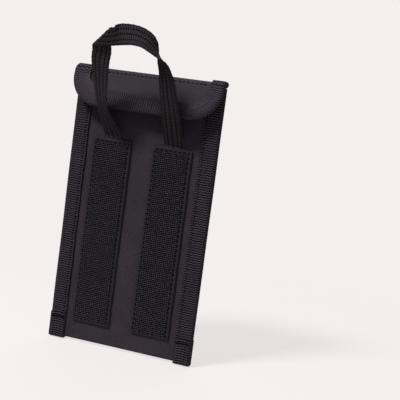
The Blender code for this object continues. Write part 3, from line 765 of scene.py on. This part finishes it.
def makeSideTape(side, sign):
    shape = sideTape
    low, high = boxOf(f"side_binding_{side}")
    frontY = body["frontY"] - shape["rise"]
    backY = high[1]
    bottom, top = low[2] + 0.4, high[2]
    innerX = body["half"] - shape["width"]
    radius = (backY - frontY) / 2
    flatRun = body["half"] - radius - innerX
    around = math.pi * radius
    total = 2 * flatRun + around
    length = top - bottom

    def section(run, off):
        # front face, round the edge, back face; off is outward
        angle = np.clip((run - flatRun) / radius, 0, math.pi)
        x = innerX + np.minimum(run, flatRun) - np.maximum(0, run - flatRun - around)
        x = x + (radius + off) * np.sin(angle)
        y = (frontY + backY) / 2 - (radius + off) * np.cos(angle)
        return x, y

    def place(u, v):
        run = u * total
        z = bottom + v * length
        off = tapeRelief(v * length, run, total, shape) + 0.12 * ripple(z, run, 15.0, sign)
        x, y = section(run, off)
        # the tape's inner edge isn't ruler straight
        lip = 0.10 * np.sin(z / 5.0 + sign) + 0.07 * np.sin(z / 2.1)
        x = x - lip * smoothStep(1 - run / 3) - lip * smoothStep(1 - (total - run) / 3)
        return sign * x, y, z

    piece = shapedGrid(f"sideTape_{side}", shape["across"], int(length / shape["ribPitch"] * shape["perRib"]),
                       place, (total, length))
    if sign < 0:
        turnFaces(piece, flip=True)
    thicken(piece, shape["thick"])
    shadeSoft(piece, 70)
    dress(piece, finishes["bindingTape"], "binding_tape", f"side_binding_{side}")
    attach(piece, "pouch")

    # the tape's end, turned under and doubled at the bottom
    endTop = body["bottomZ"] + shape["endHeight"]
    endBottom = body["bottomZ"] - shape["endDrop"]
    endHeight = endTop - endBottom

    def endPlace(u, v):
        angle = 2 * math.pi * u
        halfX = (body["half"] - innerX) / 2 + 0.25
        halfY = (backY - frontY) / 2 + shape["endExtra"] * 0.65
        wide = np.sign(np.cos(angle)) * np.abs(np.cos(angle)) ** 0.30
        deep = np.sign(np.sin(angle)) * np.abs(np.sin(angle)) ** 0.62
        z = endBottom + v * endHeight
        close = np.sqrt(np.clip(1 - (1 - np.clip((z - endBottom) / 1.1, 0, 1)) ** 2, 0.03, 1))
        shut = np.sqrt(np.clip(1 - (1 - np.clip((endTop - z) / 0.8, 0, 1)) ** 2, 0.10, 1))
        off = ribHeight(z, wide * halfX, shape) * 0.9
        x = (body["half"] + innerX) / 2 + wide * (halfX - 0.6 + 0.6 * close * shut)
        y = (frontY + backY) / 2 - shape["endExtra"] * 0.2
        y = y + deep * (halfY + off) * (0.45 + 0.55 * close * shut)
        return sign * x, y, z

    rows = int(endHeight / shape["ribPitch"] * shape["perRib"])
    end = shapedGrid(f"tapeEnd_{side}", shape["endAround"], rows, endPlace,
                     (2 * shape["width"] + shape["endSides"], endHeight))
    closeTube(end)
    shadeSoft(end, 70)
    dress(end, finishes["bindingTape"], "binding_tape")
    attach(end, "pouch")


def makeSideSeams(side, sign):
    shape = sideTape
    x = sign * (body["half"] - shape["width"] + shape["seamInset"])
    y = body["frontY"] - shape["rise"] + 0.05
    backY = bindHigh[1] - 0.05
    low, high = body["bottomZ"] + shape["endHeight"], bindHigh[2] - 2
    # close zigzag that locks the turned end
    zigzag = [(sign * (body["half"] - endLock["start"] + endLock["step"] * k), y - endLock["out"],
               low - endLock["below"] + endLock["swing"] * (-1) ** k) for k in range(endLock["turns"])]
    lockThread = dict(threadShape, pitch=endLock["pitch"], share=endLock["share"])
    sewLine(f"sideSeam_{side}", "pouch", [f"binding_stitching_{side}"],
            [(x, y, low), (x + sign * 0.1, y, 10.0), (x, y, high)], (0, -1, 0))
    sewLine(f"backSeam_{side}", "pouch", [], [(x, backY, high), (x, backY, low)], (0, 1, 0))
    sewLine(f"endLock_{side}", "pouch", [f"binding_bartack_{side}"], zigzag, (0, -1, 0), lockThread)


for side, sign in (("left", -1), ("right", 1)):
    makeSideTape(side, sign)
    makeSideSeams(side, sign)
print("side tapes ready")


# strips of hook tape

hookStrip = dict(columns=64, rows=260, selvedge=0.9, edgeDrop=0.45, seamInset=1.7, seamDip=0.28,
                 seamWidth=0.6, plainInside=0.35, hooksInside=0.45, fieldInset=0.3, rise=0.7, thick=1.55,
                 columnPitch=1.30, rowPitch=1.16, wire=0.27, curl=0.36, wander=0.07)
stripThread = dict(threadShape, pitch=2.9, share=0.62, thick=0.72)


def oneHook(shape):
    # a stalk that curls over, thin enough to catch a loop
    stalk = shape["rise"] - shape["curl"] - shape["wire"]

    def bend(u, v):
        turn = 2 * math.pi * u
        straight = np.minimum(v / 0.35, 1)
        angle = np.clip((v - 0.35) / 0.65, 0, 1) * math.radians(205)
        x = shape["curl"] * (1 - np.cos(angle))
        out = stalk * straight + shape["curl"] * np.sin(angle)
        girth = shape["wire"] * (1 - 0.35 * v)
        x = x + girth * np.cos(turn) * np.cos(angle)
        out = out - girth * np.cos(turn) * np.sin(angle)
        return x - shape["curl"], -out, girth * np.sin(turn)

    hook = shapedGrid("hook", 4, 6, bend, (2 * math.pi * shape["wire"], 2.0))
    closeTube(hook)
    return hook


def hookField(name, low, high, shape, seed, keep=None):
    # rows of hooks on the plane y = 0 that face to -y, between two corners given as (x, z);
    # keep says which of them stay
    columns = int((high[0] - low[0]) / shape["columnPitch"]) + 1
    rows = int((high[1] - low[1]) / shape["rowPitch"]) + 1
    field = oneHook(shape)
    field.name = field.data.name = name
    each = len(field.data.vertices)
    pick(field)
    for label, count, step in (("columns", columns, (shape["columnPitch"] * mm, 0, 0)),
                               ("rows", rows, (0, 0, shape["rowPitch"] * mm))):
        line = field.modifiers.new(label, "ARRAY")
        line.count = count
        line.use_relative_offset = False
        line.use_constant_offset = True
        line.constant_offset_displace = step
        bpy.ops.object.modifier_apply(modifier=line.name)
    points = (readPoints(field) / mm).reshape(rows, columns, each, 3)
    baseX = (np.arange(columns) * shape["columnPitch"])[None, :, None]
    baseZ = (np.arange(rows) * shape["rowPitch"])[:, None, None]
    dx, dz = points[..., 0] - baseX, points[..., 2] - baseZ
    chance = np.random.default_rng(seed)
    facing = np.where((np.arange(rows)[:, None, None] + np.arange(columns)[None, :, None]) % 2, 1.0, -1.0)
    angle = chance.normal(0, 0.20, (rows, columns, 1))
    spunX = facing * (dx * np.cos(angle) - dz * np.sin(angle))
    spunZ = facing * (dx * np.sin(angle) + dz * np.cos(angle))
    tall = 1 + chance.normal(0, 0.10, (rows, columns, 1))
    leanX = chance.normal(0, 0.14, (rows, columns, 1)) * -points[..., 1]
    startX = low[0] + ((high[0] - low[0]) - (columns - 1) * shape["columnPitch"]) / 2
    wanderX = chance.normal(0, shape["wander"], (rows, columns, 1))
    wanderZ = chance.normal(0, shape["wander"], (rows, columns, 1))
    x = startX + baseX + spunX + wanderX + leanX
    z = low[1] + baseZ + spunZ + wanderZ
    y = np.maximum(points[..., 1] * tall, -shape["rise"])
    writePoints(field, np.stack([x, y, z], axis=-1).reshape(-1, 3) * mm)
    if keep:
        kept = keep(startX + baseX + wanderX, low[1] + baseZ + wanderZ)
        kept = np.broadcast_to(kept, (rows, columns, each)).reshape(-1)
        pick(field)
        bpy.context.tool_settings.mesh_select_mode = (True, False, False)
        field.data.polygons.foreach_set("select", np.zeros(len(field.data.polygons), dtype=bool))
        field.data.edges.foreach_set("select", np.zeros(len(field.data.edges), dtype=bool))
        field.data.vertices.foreach_set("select", ~kept)
        bpy.ops.object.mode_set(mode="EDIT")
        bpy.ops.mesh.delete(type="VERT")
        bpy.ops.object.mode_set(mode="OBJECT")
    shadeSoft(field, 80)
    return field


def makeHookStrip(side, seed):
    shape = hookStrip
    low, high = boxOf(f"hook_strip_{side}")
    middleX, middleZ = (low[0] + high[0]) / 2, (low[2] + high[2]) / 2
    halfX, halfZ = (high[0] - low[0]) / 2, (high[2] - low[2]) / 2
    face = low[1] + shape["rise"]

    def insideSeam(x, z):
        return np.minimum(halfX - np.abs(x), halfZ - np.abs(z)) - shape["seamInset"]

    def place(u, v):
        x = (2 * u - 1) * halfX
        z = (2 * v - 1) * halfZ
        inward = insideSeam(x, z)
        # the edge is rolled and the seam pulled in
        drop = shape["edgeDrop"] * (1 - smoothStep((inward + shape["seamInset"]) / shape["selvedge"]))
        drop = drop + shape["seamDip"] * np.exp(-(inward / shape["seamWidth"]) ** 2)
        y = face + drop - 0.06 * ripple(x, z, 7.0, seed)
        wavy = 0.10 * np.sin(z / 4.1 + seed) * smoothStep(1 - (halfX - np.abs(x)) / 2) * np.sign(x)
        return middleX + x + wavy, y, middleZ + z

    piece = shapedGrid(f"hookStrip_{side}", shape["columns"], shape["rows"], place, (2 * halfX, 2 * halfZ))
    thicken(piece, shape["thick"])
    shadeSoft(piece, 60)
    dress(piece, finishes["hookTape"], "hook_tape", f"hook_strip_{side}")
    # the border outside the seam is woven plain
    piece.data.materials.append(finishes["selvedge"])
    spots = np.empty(len(piece.data.polygons) * 3)
    piece.data.polygons.foreach_get("center", spots)
    spots = spots.reshape(-1, 3) / mm - (middleX, 0, middleZ)
    plain = insideSeam(spots[:, 0], spots[:, 2]) < shape["plainInside"]
    piece.data.polygons.foreach_set("material_index", plain.astype(np.int32))
    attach(piece, "pouch")

    inset = shape["selvedge"] + shape["fieldInset"]
    cornerX, cornerZ = halfX - inset, halfZ - inset
    field = hookField(f"hooks_{side}", (-cornerX, -cornerZ), (cornerX, cornerZ), shape, seed,
                      lambda x, z: insideSeam(x, z) > shape["hooksInside"])
    writePoints(field, readPoints(field) + np.array((middleX, face, middleZ)) * mm)
    dress(field, finishes["hookWire"], "hook_tape")
    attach(field, "pouch")

    ring = boxRing(low, high, shape["seamInset"], face + 0.05)
    sewLine(f"stripSeam_{side}", "pouch", [f"strip_stitching_{side}"], ring, (0, -1, 0), stripThread,
            closed=True)


makeHookStrip("left", 3)
makeHookStrip("right", 8)
print("hook strips ready")


# closure under the flap

closure = dict(rise=0.55, columnPitch=1.1, rowPitch=1.0, wire=0.12, curl=0.22, wander=0.1, pile=0.22,
               half=31.0, tall=8.5, below=1.0, fromRim=9.0, border=1.0)


def makeClosure():
    low, high = boxOf("closure_loop_tape")
    width, height = high[0] - low[0], high[2] - low[2]

    def pile(u, v):
        x = low[0] + u * width
        z = low[2] + v * height
        fromEdge = np.minimum(np.minimum(u, 1 - u) * width, np.minimum(v, 1 - v) * height)
        fluff = closure["pile"] * (ripple(x, z, 0.37, 0.9) + ripple(z, x, 0.61, 2.1))
        edge = 0.5 * (1 - smoothStep(fromEdge))
        return x, low[1] + 0.35 + edge - fluff * smoothStep(fromEdge / 1.5), z

    piece = shapedGrid("loopTape", 240, 36, pile, (width, height))
    thicken(piece, 0.5)
    shadeSoft(piece, 80)
    dress(piece, finishes["loopTape"], "loop_tape", "closure_loop_tape")
    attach(piece, "pouch")
    ring = boxRing(low, high, closure["border"], low[1] + 0.15)
    sewLine("loopSeam", "pouch", ["closure_stitching"], ring, (0, -1, 0), closed=True)

    # hook side, on the flap's inner face
    half, tall = closure["half"], closure["tall"]
    middle = (flapArc + flapLength - closure["fromRim"]) / 2
    under = -flap["stack"] / 2 - closure["below"]

    def onFlap(u, v):
        return flapPoint((1 - 2 * u) * half, middle + (1 - 2 * v) * tall / 2, under + 0 * u)

    piece = shapedGrid("flapHookTape", 120, 18, onFlap, (2 * half, tall))
    thicken(piece, 0.6)
    shadeSoft(piece, 60)
    dress(piece, finishes["hookTape"], "hook_tape", "closure_hook_tape")
    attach(piece, "flap")
    cornerX, cornerZ = half - closure["border"], tall / 2 - closure["border"]
    field = hookField("flapHooks", (-cornerX, -cornerZ), (cornerX, cornerZ), closure, seed=5)
    flat = readPoints(field) / mm
    x, y, z = flapPoint(flat[:, 0], middle - flat[:, 2], under + flat[:, 1])
    writePoints(field, np.stack([x, y, z], axis=1) * mm)
    turnFaces(field)
    dress(field, finishes["hookWire"], "hook_tape")
    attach(field, "flap")


makeClosure()
print("closure ready")


# flap: one cloth from the back, over the top fold and down in front

flapCloth = dict(columns=110, rows=130, inset=1.2, backRun=6.5, backBend=2.0, outer=0.7, thick=0.8, blend=1.8)
flapLining = dict(columns=60, rows=70, backRun=0.5, outer=-0.35, thick=0.3)
flapTape = dict(sideTape, width=9.0, outer=1.45, thick=0.62, across=44, ribRise=0.30, uneven=1.7,
                cornerExtra=1.0, cornerPlace=13.0, cornerReach=9.0)
flapSeams = dict(rimEnd=7.0, foldHalf=37.5, tailOut=0.95)
# the middle of the flap goes on down the back as a tail that is sewn there
flapTail = dict(half=31.0, seamHalf=26.0, seamDrop=7.0, off=0.45)


def flapBlend(piece):
    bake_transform(piece)


def flapSheet(name, shape, roll):
    # one cloth that runs from the free edge up over the fold, and down the back in the middle
    bend, outer, backRun = flapCloth["backBend"], shape["outer"], shape["backRun"]
    inset = flapCloth["inset"]
    total = backRun + math.pi / 2 * bend + topEdgeBack(0.0) - bend + flapLength
    cut = (flapLength - inset) / total

    def place(u, v):
        s = np.where(v < cut, (flapLength - inset) * (1 - v / cut), 0.0)
        rest = np.maximum(0, v - cut) / (1 - cut)
        x = (2 * u - 1) * flapHalf(np.maximum(s, 0), inset)
        backOuter = backInnerY(x, body["topZ"]) + body["cloth"]
        centreY = backOuter + 0.15 - (bend + outer - flapCloth["thick"])
        topRun = np.maximum(0.2, centreY - flap["foldBack"])
        tail = np.maximum(0.02, smoothStep((flapTail["half"] - np.abs(x)) / 7))
        walk = rest * (topRun + (math.pi / 2 * bend + backRun) * tail)
        angle = np.clip((walk - topRun) / bend, 0, math.pi / 2)
        down = np.maximum(0, walk - topRun - math.pi / 2 * bend)
        # a roll of cloth stands over the row of thread along the fold, which is pulled in
        n = outer + roll * (np.exp(-((s - flap["seamS"] + 2.2) / 1.1) ** 2)
                            - 0.8 * np.exp(-((s - flap["seamS"]) / 0.5) ** 2))
        _, frontY, frontZ = flapPoint(x, np.where(v < cut, s, -np.minimum(walk, topRun)), n)
        backZ = flapMidZ - bend + (bend + outer) * np.cos(angle) - down
        swell = backInnerY(x, backZ) - backInnerY(x, body["topZ"]) + flapTail["off"]
        backY = centreY + (bend + outer) * np.sin(angle) + swell * np.sin(angle) ** 2
        turned = (v >= cut) & (walk > topRun)
        return x, np.where(turned, backY, frontY), np.where(turned, backZ, frontZ)

    width = 2 * (body["half"] - inset)
    piece = shapedGrid(name, shape["columns"], shape["rows"], place, (width, total))
    thicken(piece, shape["thick"])
    shadeSoft(piece, 60)
    flapBlend(piece)
    # what the rounded corners and the narrower tail leave out
    corners = (2 - math.pi / 2) * (flap["corner"] - inset) ** 2
    besideTail = 2 * (body["half"] - flapTail["half"]) * (flapCloth["backRun"] + math.pi / 2 * bend)
    return piece, (width * mm, total * mm), (width * total - corners - besideTail) * mm * mm


def makeFlapCloth():
    piece, flat, area = flapSheet("flapCloth", flapCloth, flap["rollRise"])
    # the flap gets the lighter copy of the pouch cloth, painted light where it faces up
    dress(piece, finishes["flapCloth"], "pouch_cloth", "flap_shell")
    lining, flat, area = flapSheet("flapLining", flapLining, 0.0)
    dress(lining, finishes["liningCloth"], "lining_cloth", "flap_lining")


def flapTapeWidth(d):
    # a little wider on the left, and at both corners
    toMiddle = np.abs(d - flapRimLength / 2)
    toCorner = np.abs(toMiddle - (body["half"] - flap["corner"]) - flapTape["cornerPlace"])
    return (flapTape["width"] + flapTape["uneven"] * np.cos(math.pi * d / flapRimLength)
            + flapTape["cornerExtra"] * np.exp(-(toCorner / flapTape["cornerReach"]) ** 2))


def makeFlapTape():
    shape = flapTape
    radius = shape["outer"]
    flatRun = shape["width"] - radius
    around = math.pi * radius
    total = 2 * flatRun + around

    def place(u, v):
        run = u * total
        d = v * flapRimLength
        angle = np.clip((run - flatRun) / radius, 0, math.pi)
        off = tapeRelief(d, run, total, shape) + 0.10 * ripple(d, run, 13.0, 2.0)
        spread = (flapTapeWidth(d) - radius) / flatRun
        inset = radius + spread * (flatRun - np.minimum(run, flatRun) + np.maximum(0, run - flatRun - around))
        inset = inset - (radius + off) * np.sin(angle) + 0.12 * np.sin(d / 4.0) * smoothStep(1 - run / 3)
        n = (radius + off) * np.cos(angle)
        x, s = flapRim(d, inset)
        return flapPoint(x, s, n)

    piece = shapedGrid("flapTape", shape["across"], int(flapRimLength / shape["ribPitch"] * shape["perRib"]),
                       place, (total, flapRimLength))
    turnFaces(piece, flip=True)
    thicken(piece, shape["thick"])
    shadeSoft(piece, 70)
    dress(piece, finishes["bindingTape"], "binding_tape", "flap_binding")
    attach(piece, "flap")


def makeFlapSeams():
    d = np.linspace(flapSeams["rimEnd"], flapRimLength - flapSeams["rimEnd"], 240)
    rimX, rimS = flapRim(d, flapTapeWidth(d) - flapTape["seamInset"])
    rim = flapPoint(rimX, rimS, flapTape["outer"] - 0.12)
    outward = (0, -math.cos(flapLean), math.sin(flapLean))
    sewLine("flapSeam", "flap", ["flap_stitching"], np.stack(rim, axis=1), outward)
    x = np.linspace(-flapSeams["foldHalf"], flapSeams["foldHalf"], 40)
    top = flapPoint(x, flap["seamS"] + 0 * x, flapCloth["outer"] - 0.1)
    sewLine("foldSeam", "flap", ["top_stitching"], np.stack(top, axis=1), (0, -0.8, 0.6))
    x = np.linspace(flapTail["seamHalf"], -flapTail["seamHalf"], 40)
    z = flapMidZ - flapTail["seamDrop"]
    y = backInnerY(x, z) + body["cloth"] + flapSeams["tailOut"] + flapTail["off"]
    sewLine("backFoldSeam", "pouch", [], np.stack((x, y, 0 * x + z), axis=1), (0, 1, 0))


makeFlapCloth()
makeFlapTape()
makeFlapSeams()
print("flap ready")


# webbing handle, from one strip over to the other

# each entry: x, forward and up from the bending line, then the direction across the webbing
handlePath = (
    (-19.7, 0.0, -14.0, 1, 0, 0),
    (-19.7, 0.0, -8.0, 1, 0, 0),
    (-19.7, 0.0, -2.6, 1, 0, 0),
    (-19.7, 0.6, 0.4, 1, 0, 0),
    (-20.6, 7.6, 7.6, 0.92, 0.30, 0),
    (-21.4, 16.4, 15.8, 0.80, 0.58, 0),
    (-21.2, 20.9, 22.2, 0.83, 0.54, 0),
    (-20.9, 24.0, 29.0, 0.90, 0.42, 0),
    (-20.2, 27.8, 36.0, 0.97, 0.26, 0),
    (-19.2, 31.4, 43.0, 1, 0.10, 0.02),
    (-4.2, 40.4, 58.0, 0, 0.14, 0.99),
    (-0.2, 40.6, 58.4, 0, -0.06, 1),
    (4.2, 40.4, 58.4, 0, -0.30, 0.95),
    (8.0, 39.7, 57.7, 0.05, -0.45, 0.88),
    (11.6, 38.8, 56.2, 0.08, -0.62, 0.76),
    (14.6, 37.6, 53.5, 0.05, -0.80, 0.55),
    (17.0, 35.8, 50.3, -0.20, -0.92, 0.25),
    (19.4, 32.4, 45.4, -0.70, -0.70, 0),
    (20.7, 29.4, 40.4, -0.84, -0.52, 0),
    (21.3, 26.7, 35.6, -0.92, -0.36, 0),
    (21.4, 22.6, 28.0, -0.97, -0.22, 0),
    (21.5, 18.3, 21.0, -1, -0.10, 0),
    (21.3, 13.2, 14.0, -1, -0.02, 0),
    (19.7, 0.6, 0.4, -1, 0, 0),
    (19.7, 0.0, -2.6, -1, 0, 0),
    (19.7, 0.0, -8.0, -1, 0, 0),
    (19.7, 0.0, -14.0, -1, 0, 0),
)
handle = dict(width=12.0, thick=1.0, stations=620, around=88, column=2.0, ridge=0.13, rowPitch=1.35,
              rowRise=0.07, lean=0.55, curveSteps=24, blendLow=1.8, blendHigh=2.5)
# the webbing folds over a slanted crease after entry "after" of the path
handleFold = dict(after=10, place=(-16.6, 38.6, 55.9), lean=26.7, turn=42.7, angle=41.3, radius=0.9,
                  reach=8.0, rise=1.3, steps=6)


def curveThrough(values, steps):
    # a smooth curve through the given values, with this many steps between neighbours
    values = np.array(values, float)
    padded = np.vstack([2 * values[0] - values[1], values, 2 * values[-1] - values[-2]])
    points = []
    for a, b, c, d in zip(padded, padded[1:], padded[2:], padded[3:]):
        for k in range(steps):
            t = k / steps
            points.append((2 * b + (c - a) * t + (2 * a - 5 * b + 4 * c - d) * t * t
                           + (3 * b - a - 3 * c + d) * t ** 3) / 2)
    points.append(values[-1])
    return np.array(points)


def foldStations(fold, pivot):
    # places and cross directions where the webbing wraps round its slanted crease
    lean, turn, angle = (math.radians(fold[key]) for key in ("lean", "turn", "angle"))
    up = np.array((0, -math.sin(lean), math.cos(lean)))
    toward = np.array((0, -math.cos(lean), -math.sin(lean)))
    crease = np.array((math.cos(turn), 0, 0)) + up * math.sin(turn)
    out = np.array((-math.sin(turn), 0, 0)) + up * math.cos(turn)
    slant, radius = 1 / math.tan(angle), fold["radius"]
    x, forward, height = fold["place"]
    start = pivot + (x, -forward, height) - out * radius - crease * radius * slant * math.pi / 2
    wrap = []
    for turned in np.linspace(0, math.pi, fold["steps"] + 1):
        spot = start + radius * (out * math.sin(turned) - toward * math.cos(turned))
        wrap.append((spot + crease * radius * slant * turned, crease / math.sin(angle)))
    before, after = [], []
    for fan, base, way, rise in ((before, wrap[0][0], 1, 0.0), (after, wrap[-1][0], -1, fold["rise"])):
        along = crease * math.cos(angle) + out * math.sin(angle) * way
        square = crease * math.sin(angle) - out * math.cos(angle) * way
        for share in (1, 2 / 3, 1 / 3):
            spot = base - along * way * fold["reach"] * share + square * rise * share ** 2
            fan.append((spot, square + along * slant * (1 - share)))
    return before + wrap + after[::-1]


def handleLines(pivot):
    # the webbing's middle line, and the direction across it
    path = [np.array((x, pivot[1] - forward, pivot[2] + up)) for x, forward, up, *_ in handlePath]
    turns = [np.array((x, -forward, up)) for *_, x, forward, up in handlePath]
    folded = foldStations(handleFold, pivot)
    first = handleFold["after"]
    path[first:first] = [spot for spot, _ in folded]
    turns[first:first] = [turn for _, turn in folded]
    for k, turn in enumerate(turns):
        if not first <= k < first + len(folded):
            way = path[min(k + 1, len(path) - 1)] - path[max(k - 1, 0)]
            way = way / np.linalg.norm(way)
            turn = turn - way * (turn @ way)
            turns[k] = turn / np.linalg.norm(turn)
    return curveThrough(path, handle["curveSteps"]), curveThrough(turns, handle["curveSteps"])


def makeHandle():
    shape = handle
    pivot = np.array(swing["pos_m"]) / mm
    centres, across = handleLines(pivot)
    travelled = np.concatenate([[0], np.cumsum(np.linalg.norm(np.diff(centres, axis=0), axis=1))])
    length = travelled[-1]

    def track(values, distance):
        return np.stack([np.interp(distance, travelled, values[:, k]) for k in range(3)], axis=1)

    def unit(values):
        return values / np.maximum(np.linalg.norm(values, axis=1, keepdims=True), 1e-9)

    shifted = {}

    def place(u, v):
        distance = v * length
        centre = track(centres, distance)
        ahead, behind = np.minimum(distance + 0.5, length), np.maximum(distance - 0.5, 0)
        tangent = unit(track(centres, ahead) - track(centres, behind))
        side = track(across, distance)
        face = unit(np.cross(side, tangent))
        slant = np.sum(side * tangent, axis=1)
        turn = 2 * u
        top = turn < 1
        w = -np.cos(math.pi * turn)
        x = w * shape["width"] / 2
        fat = shape["thick"] / 2 * np.sqrt(np.clip(1 - np.abs(w) ** 10, 0, 1))
        shifted["along"] = x * slant
        distance = distance + x * slant
        column = (x + shape["width"] / 2) / shape["column"]
        ridges = shape["ridge"] * (np.abs(np.sin(math.pi * column)) - 0.5)
        lean = shape["lean"] * np.abs(column % 2 - 1)
        rows = shape["rowRise"] * np.sin(2 * math.pi * (distance / shape["rowPitch"] / 2 + lean))
        inner = smoothStep((1 - np.abs(w)) / 0.08)
        fat = fat + inner * (ridges + rows)
        ragged = 0.06 * np.sin(math.pi * distance / shape["rowPitch"]) * (np.abs(w) > 0.97)
        spot = centre + side * (x + np.sign(w) * ragged)[:, None]
        return (spot + face * (np.where(top, 1, -1) * fat)[:, None]).T

    piece = shapedGrid("handleWebbing", shape["around"], shape["stations"], place,
                       (2 * shape["width"], length))
    # where the strap is folded the weave still runs square to it
    corners = np.empty(len(piece.data.loops), dtype=np.int32)
    piece.data.loops.foreach_get("vertex_index", corners)
    uv = readUv(piece)
    uv[:, 1] += (shifted["along"][corners] * mm).astype(np.float32)
    writeUv(piece, uv)
    closeTube(piece)
    shadeSoft(piece, 70)
    dress(piece, finishes["webbing"], "webbing", "pull_handle", "handle_anchor_left", "handle_anchor_right")
    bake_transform(piece)
    print("handle webbing length in mm:", round(float(length), 1))


makeHandle()
